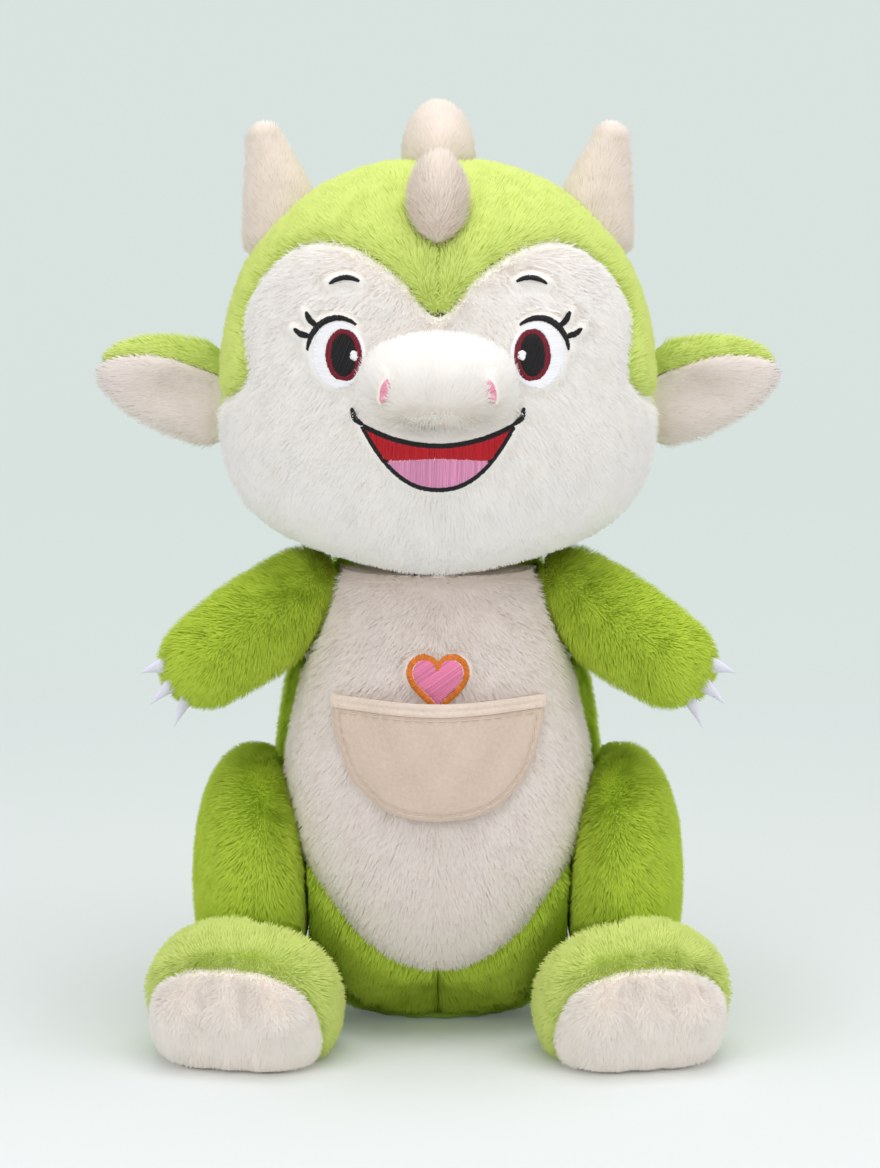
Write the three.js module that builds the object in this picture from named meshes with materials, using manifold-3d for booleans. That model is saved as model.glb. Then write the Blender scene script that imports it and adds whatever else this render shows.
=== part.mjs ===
// A seated plush dragon, about 29 cm tall, as its sewn pieces: skins over fibre filling, stuffed limbs,
// ears, horns and crest fins, an embroidered face and a belly pocket. Millimetres, +Z up, face toward -Y.
// Left and right are as seen from the front, so left is -X. The origin is under the seat, on the floor.
import * as THREE from 'three'
import { mergeVertices } from 'three/addons/utils/BufferGeometryUtils.js'
import Module from 'manifold-3d'

const wasm = await Module()
wasm.setup()

// Sewing: cloth thickness, the gap between sewn pieces, thread height, and how far cutters overrun
const skinThickness = 2
const seamGap = 0.3
const threadHeight = 0.9
const overrun = 12

// Torso: a pear with a flat seat, scooped away under the belly
const torsoCentreHeight = 74
const torsoHalfWidth = 52
const torsoFront = 45
const torsoBack = 42
const torsoUp = 92
const seatSink = 6
const torsoDown = torsoCentreHeight + seatSink
const torsoRoundness = { around: 2.1, above: 2.3, below: 2.2 }
const torsoTaperShare = 0.1
const seatScoop = 13
const seatScoopTowardShares = [0, -0.48, -0.88]
const seatScoopSpreadShare = 0.5
const shoulderRise = 71.5
const shoulderHeight = torsoCentreHeight + shoulderRise
const gussetThickness = 2.2

// Neck: a ball on top of the torso that the head turns on
const neckRadius = 27
const neckDepth = 2
const neckSink = 13.5
const neckHeight = shoulderHeight - neckSink

// Head: an egg lying on full cheeks
const headRise = 75
const headCentreHeight = neckHeight + headRise
const headHalfWidth = 65
const headFront = 52
const headBack = 54
const headUp = 62
const headDown = 58
const headRoundness = { around: 2.15, above: 2.15, below: 2.9 }
const cheekSwell = 5
const cheekTowardShares = [0.78, -0.42, -0.45]
const cheekSpreadShare = 0.5
const snoutSwell = 6
const snoutTowardShares = [0, -1, -0.3]
const snoutSpreadShare = 0.42
const chinSwell = 7
const chinTowardShares = [0, -0.6, -0.8]
const chinSpreadShare = 0.42

// Belly panel: the seam between cream and green, from the neck down to the tip
const bellyTopHeight = shoulderHeight - skinThickness - 2 * seamGap
const bellyTopInset = 19
const bellyTopHalfWidth = torsoHalfWidth - bellyTopInset
const bellyChestRise = 48
const bellyChestHeight = torsoCentreHeight + bellyChestRise
const bellyChestInset = 12
const bellyChestHalfWidth = torsoHalfWidth - bellyChestInset
const bellyWideRise = 14
const bellyWideHeight = torsoCentreHeight + bellyWideRise
const bellyWideInset = 5.5
const bellyWideHalfWidth = torsoHalfWidth - bellyWideInset
const bellyLowDrop = 26
const bellyLowHeight = torsoCentreHeight - bellyLowDrop
const bellyLowInset = 18
const bellyLowHalfWidth = torsoHalfWidth - bellyLowInset
const bellyTipDrop = 51
const bellyTipHeight = torsoCentreHeight - bellyTipDrop
const bellyTipWidthShare = 0.55
const bellyTipRiseShare = 1 / 3

// Face panel: two lobes over the eyes, a notch between them, and full cheeks below
const faceNotchRise = 17
const faceNotchHeight = headCentreHeight + faceNotchRise
const faceLobeRise = 38
const faceLobeHeight = headCentreHeight + faceLobeRise
const faceLobeCentre = 34
const faceLobeEdge = 57
const faceLobeEdgeRise = 15
const faceLobeEdgeHeight = headCentreHeight + faceLobeEdgeRise
const faceCreaseDrop = 2
const faceCreaseHeight = headCentreHeight - faceCreaseDrop
const faceCreaseWidth = 56
const faceCheekDrop = 13
const faceCheekHeight = headCentreHeight - faceCheekDrop
const faceSideDepth = 4
const faceLobeFall = 2.5
const faceLobeOuterShare = 0.92
const faceLobeCrownShares = [0.65, 1.25]
const faceNotchSideShare = 0.3

// Muzzle: a stuffed dome sewn on the face
const muzzleDrop = 3.5
const muzzleHeight = headCentreHeight - muzzleDrop
const muzzleDepth = headFront
const muzzleHalfWidth = 23.5
const muzzleReach = 17
const muzzleUp = 15.5
const muzzleDown = 13.5
const muzzleRoundness = { around: 2.1, above: 2.1, below: 2.2 }

// Eyes: satin stitch, each colour beside the next
const eyeCentre = 27.5
const eyeRise = 5.5
const eyeHeight = headCentreHeight + eyeRise
const eyeWhiteHalfWidth = 8.6
const eyeWhiteHalfHeight = 10.2
const eyeWhiteShift = 1.9
const irisHalfWidth = 5.4
const irisHalfHeight = 7.9
const pupilHalfWidth = 3.7
const pupilHalfHeight = 6
const highlightRadius = 1.5
const highlightOffset = 3.1
const lashWidth = 1.7
const lashLength = 5.5
const lashArcTurns = [6, 30, 60, 90, 125].map(THREE.MathUtils.degToRad)
const lashTurns = [48, 28].map(THREE.MathUtils.degToRad)
const lashLifts = [52, 24].map(THREE.MathUtils.degToRad)
const browRise = 26
const browHeight = headCentreHeight + browRise
const browHalfLength = 4.6
const browArch = 1.5
const browWidth = 1.4

// Mouth: a black satin line round a red opening with a pink tongue
const mouthHalfWidth = 24
const mouthCornerDrop = 13
const mouthCornerHeight = headCentreHeight - mouthCornerDrop
const mouthLipDrop = 6.5
const mouthDepth = 20
const mouthLineWidth = 1.7
const mouthCornerShare = 2.4
const mouthRoundness = 2.3
const tongueDrop = 25.5
const tongueHeight = headCentreHeight - tongueDrop
const tongueSag = 1.4
const nostrilOffset = 15.3
const nostrilDrop = 0.5
const nostrilHeight = muzzleHeight - nostrilDrop
const nostrilHalfWidth = 1.7
const nostrilHalfHeight = 3.6
const nostrilTilt = THREE.MathUtils.degToRad(14)

// Horns: cream cones with soft tips
const hornLength = 35
const hornBaseRadius = 14
const hornTipRadius = 6.2
const hornInset = 18.5
const hornSpread = headHalfWidth - hornInset
const hornFootRise = 39
const hornFoot = headCentreHeight + hornFootRise
const hornDepth = 5
const hornLean = THREE.MathUtils.degToRad(13)
const hornFullness = 1.15

// Crest: a row of stuffed fins along the middle seam, from the forehead to the tail
const finHalfThickness = 10
const finFront = 15
const finBack = 11
const finRise = 16
const finSink = 8
const finLean = THREE.MathUtils.degToRad(16)
const finRoundness = { around: 1.8, above: 2.1, below: 2 }
const headFinTurns = [50, 95, 137].map(THREE.MathUtils.degToRad)
const headFinSizeShares = [1, 1.15, 0.9]
const backFinTurns = [149, 177].map(THREE.MathUtils.degToRad)
const backFinSizeShares = [0.8, 0.8]
const tailFinShares = [0.3, 0.66]
const tailFinSizeShares = [0.6, 0.45]

// Ears: leaves that swing on an upright seam
const earRootOutset = 1.5
const earRootWidth = headHalfWidth + earRootOutset
const earDepth = 6
const earDrop = 11
const earHeight = headCentreHeight - earDrop
const earSeamRadius = 6
const earSeamHalfLength = 14.5
const earLength = 39
const earHalfHeight = 17
const earHalfThickness = 9.5
const earTipLift = 8
const earWidestShare = 0.14
const earRootShare = 0.3
const earTrimShare = 0.5
const earNeckShare = 0.8
const earFold = THREE.MathUtils.degToRad(38)
const earFoldLift = 3
const earFoldOutwardShare = 0.12
const earRoundness = { around: 1.9, above: 2, below: 2 }

// Arms: short stuffed sleeves that swing in a dimple in the shoulder
const armRootInset = 10
const armRootSpread = torsoHalfWidth - armRootInset
const armRootDepth = 6
const armRootDrop = 10.5
const armRootHeight = shoulderHeight - armRootDrop
const armRootRadius = 15
const armSwell = 1.2
const pawReach = 28
const pawForward = 18
const pawDrop = 17
const pawRadius = 14.6
const clawLength = 8
const clawHalfWidth = 2.1
const clawHalfThickness = 0.8
const clawSink = 1.5
const clawFan = THREE.MathUtils.degToRad(26)
const clawCount = 3
const clawSides = 6

// Legs: a round haunch that turns in the torso's side, with the foot sewn to its front
const hipOutset = 5
const hipSpread = torsoHalfWidth + hipOutset
const hipDepth = 3
const hipHeight = 47
const haunchRadius = 40
const haunchHalfWidth = 19
const haunchRoundness = 2.3
const footOutset = 2
const footSpread = hipSpread + footOutset
const footDepth = 49
const footHalfWidth = 28.5
const footFront = 21
const footBack = 36
const footHeight = 42
const footBelow = 24
const footRoundness = { around: 2.4, above: 2.3, below: 2.6 }
const footSplay = THREE.MathUtils.degToRad(13)
const toeSwell = 4.5
const toeSpreadShare = 0.27
const toeTurns = [-32, 0, 32].map(THREE.MathUtils.degToRad)
const toeSizeShares = [1, 0.6, 1]
const toeCapStart = 24
const toeCapLean = THREE.MathUtils.degToRad(28)
const footClearance = 48

// Tail: a taper that props the toy from behind and wags on an upright seam
const tailRootInset = 8
const tailRootDepth = torsoBack - tailRootInset
const tailRootHeight = 21
const tailRootRadius = 21.5
const tailLength = 66
const tailTipRadius = 8
const tailMidShare = 0.5
const tailMidRadiusShare = 0.74
const tailTipHeight = 11
const tailWagClearance = 0.6

// Pocket: a smooth half-round bag on the belly with a hemmed mouth that stands a little open
const pocketMouthRise = 35
const pocketMouthHeight = torsoCentreHeight + pocketMouthRise
const pocketHalfWidth = 31.5
const pocketDrop = 36
const pocketRoundness = 2.4
const pocketCloth = 1.3
const pocketGape = 9
const pocketSpreadShare = 0.36
const hemHeight = 4
const hemCloth = 2
const heartHalfWidth = 9.5
const heartHeight = 19
const heartSink = 6
const heartFoot = pocketMouthHeight - heartSink
const heartBorder = 1.7
const heartWaves = [13, -5, -2, -1]
const heartWavesLowest = 17
const heartWavesSpan = 29
const heartPointShare = 1.6
const heartRimShare = 0.8

// How finely the forms are divided
const headDivisions = [32, 18]
const torsoDivisions = [28, 16]
const fillingDivisions = [20, 12]
const limbDivisions = [16, 8]
const finDivisions = [12, 8]
const socketDivisions = [24, 12]
const footDivisions = [28, 12]
const curveSteps = 14
const stitchSteps = 6
const stitchEndShare = 0.2
const capStepShare = 1 / 3

// A closed mesh with shared corners as a solid that can be cut
function solidOf(geometry) {
  const bare = geometry.clone()
  bare.deleteAttribute('normal')
  bare.deleteAttribute('uv')
  const merged = mergeVertices(bare)
  return new wasm.Manifold(
    new wasm.Mesh({
      numProp: 3,
      vertProperties: new Float32Array(merged.attributes.position.array),
      triVerts: new Uint32Array(merged.index.array)
    })
  )
}

function geometryOf(solid) {
  const mesh = solid.getMesh()
  const geometry = new THREE.BufferGeometry()
  geometry.setAttribute('position', new THREE.BufferAttribute(new Float32Array(mesh.vertProperties), 3))
  geometry.setIndex(new THREE.BufferAttribute(new Uint32Array(mesh.triVerts), 1))
  geometry.computeVertexNormals()
  return geometry
}

const upward = new THREE.Vector3(0, 0, 1)
const toyReach = headCentreHeight + headUp + hornLength + overrun

// Everything on the positive side of a plane through a point, as a large turned block
function halfSpace(point, normal) {
  const box = new THREE.BoxGeometry(2 * toyReach, 2 * toyReach, 2 * toyReach)
  box.translate(0, 0, toyReach)
  const turn = new THREE.Quaternion().setFromUnitVectors(upward, normal.clone().normalize())
  box.applyQuaternion(turn)
  box.translate(point.x, point.y, point.z)
  return solidOf(box)
}

const above = height => halfSpace(new THREE.Vector3(0, 0, height), upward)
const below = height => halfSpace(new THREE.Vector3(0, 0, height), upward.clone().negate())
function onSide(side, distance) {
  return halfSpace(new THREE.Vector3(side * distance, 0, 0), new THREE.Vector3(side, 0, 0))
}
const aboveFloor = above(0)

// Where the surface of a stuffed form lies in a direction, standing proud of it by a distance.
// The form is a rounded egg with its own radius on each side, tapered upwards, with local swells.
function stuffedPoint(form, direction, proud) {
  const level = Math.hypot(direction.x, direction.y)
  const roundness = direction.z > 0 ? form.roundness.above : form.roundness.below
  const upright = (level ** roundness + Math.abs(direction.z) ** roundness) ** (-1 / roundness)
  const heading = Math.atan2(direction.y, direction.x)
  const across = Math.cos(heading)
  const along = Math.sin(heading)
  const around = form.roundness.around
  const spread = (Math.abs(across) ** around + Math.abs(along) ** around) ** (-1 / around)
  const taper = 1 - (form.taperShare ?? 0) * direction.z * upright
  const depth = direction.y < 0 ? form.front : form.back
  const rise = direction.z > 0 ? form.up : form.down
  const point = new THREE.Vector3(
    form.halfWidth * level * upright * across * spread * taper,
    depth * level * upright * along * spread * taper,
    rise * direction.z * upright
  )
  const outward = new THREE.Vector3(
    direction.x / form.halfWidth,
    direction.y / depth,
    direction.z / rise
  ).normalize()
  const swell = (form.swells ?? []).reduce((sum, bump) => {
    const distance = direction.distanceTo(bump.toward) / bump.spreadShare
    return sum + bump.height * Math.exp(-distance * distance)
  }, proud)
  return point.addScaledVector(outward, swell).add(form.centre)
}

function stuffedSolid(form, proud, divisions) {
  const sphere = new THREE.SphereGeometry(1, ...divisions)
  sphere.rotateX(Math.PI / 2)
  sphere.deleteAttribute('normal')
  sphere.deleteAttribute('uv')
  const merged = mergeVertices(sphere)
  const corners = merged.attributes.position
  const direction = new THREE.Vector3()
  for (let i = 0; i < corners.count; i++) {
    direction.fromBufferAttribute(corners, i).normalize()
    const point = stuffedPoint(form, direction, proud)
    corners.setXYZ(i, point.x, point.y, point.z)
  }
  return solidOf(merged)
}

// A stuffed sleeve along a curve: round sections whose radius follows its own curve, with ball ends
function sleeveSolid(spine, radiusAt, proud, [sides, steps]) {
  const start = spine.getPoint(0)
  const end = spine.getPoint(1)
  const capSteps = Math.ceil(steps * capStepShare)
  const stations = []
  for (let k = 1; k < capSteps; k++) {
    const turn = (k / capSteps) * (Math.PI / 2)
    stations.push({ at: 0, back: Math.cos(turn), share: Math.sin(turn) })
  }
  for (let k = 0; k <= steps; k++) {
    stations.push({ at: k / steps, back: 0, share: 1 })
  }
  for (let k = capSteps - 1; k > 0; k--) {
    const turn = (k / capSteps) * (Math.PI / 2)
    stations.push({ at: 1, back: -Math.cos(turn), share: Math.sin(turn) })
  }
  const corners = []
  const first = start.clone().addScaledVector(spine.getTangent(0), -(radiusAt(0) + proud))
  corners.push(...first.toArray())
  for (const station of stations) {
    const centre = spine.getPoint(station.at)
    const tangent = spine.getTangent(station.at)
    const side = new THREE.Vector3().crossVectors(tangent, new THREE.Vector3(0, 0, 1)).normalize()
    const up = new THREE.Vector3().crossVectors(side, tangent).normalize()
    const radius = radiusAt(station.at) + proud
    centre.addScaledVector(tangent, -radius * station.back)
    for (let i = 0; i < sides; i++) {
      const turn = (i / sides) * 2 * Math.PI
      const corner = centre.clone()
        .addScaledVector(side, radius * station.share * Math.cos(turn))
        .addScaledVector(up, radius * station.share * Math.sin(turn))
      corners.push(...corner.toArray())
    }
  }
  const last = end.clone().addScaledVector(spine.getTangent(1), radiusAt(1) + proud)
  corners.push(...last.toArray())
  const faces = []
  const ring = (row, i) => 1 + row * sides + (i % sides)
  const lastCorner = 1 + stations.length * sides
  for (let i = 0; i < sides; i++) {
    faces.push(0, ring(0, i), ring(0, i + 1))
    for (let row = 0; row < stations.length - 1; row++) {
      faces.push(ring(row, i), ring(row + 1, i + 1), ring(row, i + 1))
      faces.push(ring(row, i), ring(row + 1, i), ring(row + 1, i + 1))
    }
    faces.push(lastCorner, ring(stations.length - 1, i + 1), ring(stations.length - 1, i))
  }
  const geometry = new THREE.BufferGeometry()
  geometry.setAttribute('position', new THREE.Float32BufferAttribute(corners, 3))
  geometry.setIndex(faces)
  return solidOf(geometry)
}

function ballSolid(centre, radius, divisions) {
  const ball = new THREE.SphereGeometry(radius, ...divisions)
  ball.rotateX(Math.PI / 2)
  ball.translate(centre.x, centre.y, centre.z)
  return solidOf(ball)
}

// A round socket whose flat facets all clear a ball of the given radius by the seam gap
function socketSolid(centre, radius) {
  const facetShare = Math.cos(Math.PI / socketDivisions[0]) * Math.cos(Math.PI / socketDivisions[1] / 2)
  return ballSolid(centre, (radius + seamGap) / facetShare, socketDivisions)
}

// A flat outline drawn in X and Z, pushed through the front half of the toy
function frontPrism(outline, startDepth = 0) {
  const shape = new THREE.Shape(outline.map(([across, height]) => new THREE.Vector2(across, height)))
  const prism = new THREE.ExtrudeGeometry(shape, { depth: toyReach, bevelEnabled: false, steps: 1 })
  prism.rotateX(Math.PI / 2)
  prism.translate(0, -startDepth, 0)
  return solidOf(prism)
}

function ellipseOutline(across, height, halfWidth, halfHeight, tilt = 0) {
  const points = []
  for (let i = 0; i < curveSteps; i++) {
    const turn = (i / curveSteps) * 2 * Math.PI
    const x = halfWidth * Math.cos(turn)
    const z = halfHeight * Math.sin(turn)
    const tilted = [x * Math.cos(tilt) - z * Math.sin(tilt), x * Math.sin(tilt) + z * Math.cos(tilt)]
    points.push([across + tilted[0], height + tilted[1]])
  }
  return points
}

// A stitched line: a band of even width along a smooth curve, drawn to a point at its ends
function lineOutline(points, width) {
  const curve = new THREE.SplineCurve(points.map(([across, height]) => new THREE.Vector2(across, height)))
  const upper = []
  const lower = []
  for (let i = 0; i <= stitchSteps; i++) {
    const share = i / stitchSteps
    const point = curve.getPoint(share)
    const tangent = curve.getTangent(share)
    const fullness = Math.sqrt(Math.max(Math.sin(share * Math.PI), 0))
    const half = (width / 2) * Math.max(fullness, stitchEndShare)
    upper.push([point.x - tangent.y * half, point.y + tangent.x * half])
    lower.unshift([point.x + tangent.y * half, point.y - tangent.x * half])
  }
  return lower.concat(upper).reverse()
}

// Both halves of an outline given for the right side only, from bottom to top
function mirrored(points) {
  const others = points.map(([across, height]) => [-across, height])
  return points.concat(others.filter(([across]) => across !== 0).reverse())
}

// The same outline, grown away from its middle by a gap
function grown(outline, gap) {
  const widest = Math.max(...outline.map(([across]) => Math.abs(across)))
  const heights = outline.map(([, height]) => height)
  const middle = (Math.max(...heights) + Math.min(...heights)) / 2
  const half = (Math.max(...heights) - Math.min(...heights)) / 2
  return outline.map(([across, height]) => [
    across * (1 + gap / widest),
    middle + (height - middle) * (1 + gap / half)
  ])
}

const material = (color, roughness) => new THREE.MeshStandardMaterial({ color, roughness, metalness: 0 })
const greenPlush = material(0x9bbf3f, 0.95)
const creamPlush = material(0xe9ddd2, 0.95)
const pocketCream = material(0xd7c4b5, 0.85)
const fibre = material(0xf4f4f0, 1)
const blackThread = material(0x14100f, 0.5)
const whiteThread = material(0xf1efee, 0.5)
const redThread = material(0x9c1220, 0.5)
const irisThread = material(0x5a0b18, 0.5)
const pinkThread = material(0xd98bb0, 0.5)
const orangeThread = material(0xd9822b, 0.5)
const clawSatin = material(0xc9c7d2, 0.45)

// A group for each part of the toy that moves as one, standing at its seam
function bodyGroup(parent, at) {
  const group = new THREE.Group()
  group.userData.at = at
  group.position.copy(at).sub(parent.userData.at)
  parent.add(group)
  return group
}

function addPiece(group, name, solid, look) {
  const geometry = geometryOf(solid)
  geometry.translate(...group.userData.at.clone().negate().toArray())
  const mesh = new THREE.Mesh(geometry, look)
  mesh.name = name
  group.add(mesh)
}

const toy = new THREE.Group()
toy.userData.at = new THREE.Vector3(0, 0, 0)
const sides = [['left', -1], ['right', 1]]

const headForm = {
  centre: new THREE.Vector3(0, 0, headCentreHeight),
  halfWidth: headHalfWidth,
  front: headFront,
  back: headBack,
  up: headUp,
  down: headDown,
  roundness: headRoundness,
  swells: sides.map(([, side]) => ({
    toward: new THREE.Vector3(...cheekTowardShares).multiply(new THREE.Vector3(side, 1, 1)).normalize(),
    height: cheekSwell,
    spreadShare: cheekSpreadShare
  }))
}
headForm.swells.push(
  {
    toward: new THREE.Vector3(...snoutTowardShares).normalize(),
    height: snoutSwell,
    spreadShare: snoutSpreadShare
  },
  {
    toward: new THREE.Vector3(...chinTowardShares).normalize(),
    height: chinSwell,
    spreadShare: chinSpreadShare
  }
)

const torsoForm = {
  centre: new THREE.Vector3(0, 0, torsoCentreHeight),
  halfWidth: torsoHalfWidth,
  front: torsoFront,
  back: torsoBack,
  up: torsoUp,
  down: torsoDown,
  roundness: torsoRoundness,
  taperShare: torsoTaperShare,
  swells: [{
    toward: new THREE.Vector3(...seatScoopTowardShares).normalize(),
    height: -seatScoop,
    spreadShare: seatScoopSpreadShare
  }]
}

const neckCentre = new THREE.Vector3(0, neckDepth, neckHeight)
const headSolid = stuffedSolid(headForm, 0, headDivisions)
const headSeat = stuffedSolid(headForm, seamGap, headDivisions)

// The arm's sleeve, from the shoulder out, down and forward to the paw
function armSpine(side) {
  const root = new THREE.Vector3(side * armRootSpread, -armRootDepth, armRootHeight)
  const paw = new THREE.Vector3(pawReach * side, -pawForward, -pawDrop).add(root)
  return new THREE.LineCurve3(root, paw)
}

function armRadius(share) {
  return THREE.MathUtils.lerp(armRootRadius, pawRadius, share) + armSwell * Math.sin(Math.PI * share)
}

// The dish in the shoulder: the arm's sleeve turned right round its hinge, with clearance
function armDish(side) {
  const [sections, stops] = [limbDivisions[0], curveSteps]
  const reachAt = inward => {
    let reach = 0
    for (let k = 0; k <= stops; k++) {
      const share = k / stops
      const radius = armRadius(share) + 2 * seamGap
      const offset = Math.abs(inward + pawReach * share)
      if (offset < radius) {
        const out = Math.hypot(pawForward, pawDrop) * share + Math.sqrt(radius ** 2 - offset ** 2)
        reach = Math.max(reach, out)
      }
    }
    return reach
  }
  const inner = armRootRadius + 2 * seamGap
  const profile = [new THREE.Vector2(0, -inner)]
  for (let k = 1; k <= sections; k++) {
    const inward = inner - (2 * inner * k) / sections
    profile.push(new THREE.Vector2(reachAt(inward), -inward))
  }
  profile.push(new THREE.Vector2(0, inner))
  const dish = new THREE.LatheGeometry(profile, socketDivisions[0])
  dish.rotateZ(-side * Math.PI / 2)
  dish.translate(...armSpine(side).getPoint(0).toArray())
  return solidOf(dish)
}

const hip = side => new THREE.Vector3(side * hipSpread, -hipDepth, hipHeight)

// The haunch: a full round disc turned about the hip seam, so that it can swing in its own socket
function haunchSolid(side, clearance) {
  const facetShare = clearance > 0 ? Math.cos(Math.PI / socketDivisions[0]) : 1
  const profile = []
  for (let i = 0; i <= limbDivisions[1]; i++) {
    const turn = -Math.PI / 2 + (i / limbDivisions[1]) * Math.PI
    const level = Math.cos(turn)
    const rise = Math.sin(turn)
    const scale = (level ** haunchRoundness + Math.abs(rise) ** haunchRoundness) ** (-1 / haunchRoundness)
    const onAxis = i === 0 || i === limbDivisions[1]
    const radius = onAxis ? 0 : (haunchRadius + clearance) * level * scale / facetShare
    profile.push(new THREE.Vector2(radius, (haunchHalfWidth + clearance) * rise * scale))
  }
  const disc = new THREE.LatheGeometry(profile, socketDivisions[0])
  disc.rotateZ(-Math.PI / 2)
  disc.translate(...hip(side).toArray())
  return solidOf(disc)
}

// The tail's sleeve, level along the floor behind the seat
const tailRoot = new THREE.Vector3(0, tailRootDepth, tailRootHeight)
const tailTip = new THREE.Vector3(0, tailRootDepth + tailLength, tailTipHeight)
const tailSpine = new THREE.LineCurve3(tailRoot, tailTip)
function tailRadius(share) {
  const middle = tailRootRadius * tailMidRadiusShare
  return share < tailMidShare
    ? THREE.MathUtils.lerp(tailRootRadius, middle, share / tailMidShare)
    : THREE.MathUtils.lerp(middle, tailTipRadius, (share - tailMidShare) / (1 - tailMidShare))
}

// The ear's seam: an upright roll along the side of the head that the ear swings on
function earSeamSolid(side, proud) {
  const radius = earSeamRadius + proud
  const length = 2 * (earSeamHalfLength + proud)
  const roll = new THREE.CylinderGeometry(radius, radius, length, limbDivisions[0])
  roll.rotateX(Math.PI / 2)
  roll.translate(side * earRootWidth, earDepth, earHeight)
  return solidOf(roll)
}

const bellyOutline = mirrored([
  [0, bellyTipHeight],
  [
    bellyLowHalfWidth * bellyTipWidthShare,
    THREE.MathUtils.lerp(bellyTipHeight, bellyLowHeight, bellyTipRiseShare)
  ],
  [bellyLowHalfWidth, bellyLowHeight],
  [bellyWideHalfWidth, (bellyLowHeight + bellyWideHeight) / 2],
  [bellyWideHalfWidth, bellyWideHeight],
  [bellyChestHalfWidth, bellyChestHeight],
  [bellyTopHalfWidth, bellyTopHeight],
  [0, bellyTopHeight]
])

// Torso: two green back halves and a cream belly panel over the filling, on a flat seat gusset
function buildTorso(group) {
  const limbSockets = [socketSolid(tailRoot, tailRootRadius + tailWagClearance)]
  for (const [, side] of sides) {
    limbSockets.push(armDish(side), haunchSolid(side, seamGap))
  }
  const cut = solid => limbSockets.reduce((rest, socket) => rest.subtract(socket), solid)
  const pear = (inset, divisions) => stuffedSolid(torsoForm, -inset, divisions)
    .intersect(below(shoulderHeight - inset))
    .add(ballSolid(neckCentre, neckRadius - inset, divisions))
    .intersect(aboveFloor)
  const outside = pear(0, torsoDivisions)
  const aboveGusset = above(gussetThickness + seamGap)
  const skin = cut(outside.subtract(pear(skinThickness, fillingDivisions)).intersect(aboveGusset))
  const panel = skin.intersect(frontPrism(bellyOutline))
  const back = skin.subtract(frontPrism(grown(bellyOutline, seamGap), -seamGap))
  for (const [name, side] of sides) {
    addPiece(group, `torso_back_${name}`, back.intersect(onSide(side, seamGap / 2)), greenPlush)
  }
  addPiece(group, 'belly_panel', panel, creamPlush)
  addPiece(group, 'base_gusset', cut(outside.intersect(below(gussetThickness))), greenPlush)
  const filling = cut(pear(skinThickness + seamGap, fillingDivisions).intersect(aboveGusset))
  addPiece(group, 'torso_filling', filling, fibre)
}

function pocketOutline(topHeight, halfWidth, drop) {
  const points = []
  for (let i = 0; i <= curveSteps; i++) {
    const turn = (i / curveSteps) * Math.PI
    const across = Math.cos(turn)
    const down = Math.sin(turn)
    const scale = (Math.abs(across) ** pocketRoundness + down ** pocketRoundness) ** (-1 / pocketRoundness)
    points.push([halfWidth * across * scale, topHeight - drop * down * scale])
  }
  return points.reverse()
}

function heartOutline(inset) {
  const points = []
  const half = heartHalfWidth - inset
  const tall = heartHeight - (heartPointShare + heartRimShare) * inset
  for (let i = 0; i < curveSteps; i++) {
    const turn = (i / curveSteps) * 2 * Math.PI
    const across = Math.sin(turn) ** 3
    const waves = heartWaves.reduce((sum, wave, k) => sum + wave * Math.cos((k + 1) * turn), 0)
    const rise = (waves + heartWavesLowest) / heartWavesSpan
    points.push([half * across, heartFoot + heartPointShare * inset + tall * rise])
  }
  return points.reverse()
}

// Pocket: its cloth follows the belly but bows out at the mouth, and a stitched heart looks over the hem
function buildPocket(group) {
  const mouthToward = new THREE.Vector3(0, -torsoFront, pocketMouthHeight - torsoCentreHeight)
    .divide(new THREE.Vector3(1, torsoFront, torsoUp))
    .normalize()
  const bowed = {
    ...torsoForm,
    swells: [...torsoForm.swells, { toward: mouthToward, height: pocketGape, spreadShare: pocketSpreadShare }]
  }
  const outside = stuffedSolid(bowed, seamGap + pocketCloth, torsoDivisions)
  const inside = stuffedSolid(bowed, seamGap, torsoDivisions)
  const hemHeightBelow = pocketMouthHeight - hemHeight
  const bag = frontPrism(pocketOutline(pocketMouthHeight, pocketHalfWidth, pocketDrop))
  const bagCloth = outside.subtract(inside).intersect(bag)
  addPiece(group, 'pocket', bagCloth.intersect(below(hemHeightBelow)), pocketCream)
  const hemOutside = stuffedSolid(bowed, seamGap + hemCloth, torsoDivisions)
  const hem = hemOutside.subtract(inside).intersect(bag).intersect(above(hemHeightBelow + seamGap))
  addPiece(group, 'pocket_hem', hem, pocketCream)
  const stitches = stuffedSolid(torsoForm, seamGap + threadHeight, torsoDivisions)
    .subtract(stuffedSolid(torsoForm, seamGap, torsoDivisions))
  const heart = stitches.intersect(frontPrism(heartOutline(heartBorder + seamGap)))
  const rim = frontPrism(heartOutline(0)).subtract(frontPrism(heartOutline(heartBorder)))
  const border = stitches.intersect(rim)
  addPiece(group, 'pocket_heart', heart, pinkThread)
  addPiece(group, 'pocket_heart_border', border, orangeThread)
}

const faceOutline = mirrored([
  [0, headCentreHeight - headDown - overrun],
  [headHalfWidth + overrun, headCentreHeight - headDown - overrun],
  [headHalfWidth + overrun, faceCheekHeight],
  [faceCreaseWidth, faceCreaseHeight],
  [faceLobeEdge, faceLobeEdgeHeight],
  [faceLobeEdge * faceLobeOuterShare, (faceLobeEdgeHeight + faceLobeHeight) / 2],
  [faceLobeCentre * faceLobeCrownShares[1], faceLobeHeight - faceLobeFall],
  [faceLobeCentre, faceLobeHeight],
  [faceLobeCentre * faceLobeCrownShares[0], faceLobeHeight - faceLobeFall],
  [faceLobeCentre * faceNotchSideShare, (faceNotchHeight + faceLobeHeight) / 2],
  [0, faceNotchHeight]
])

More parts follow.
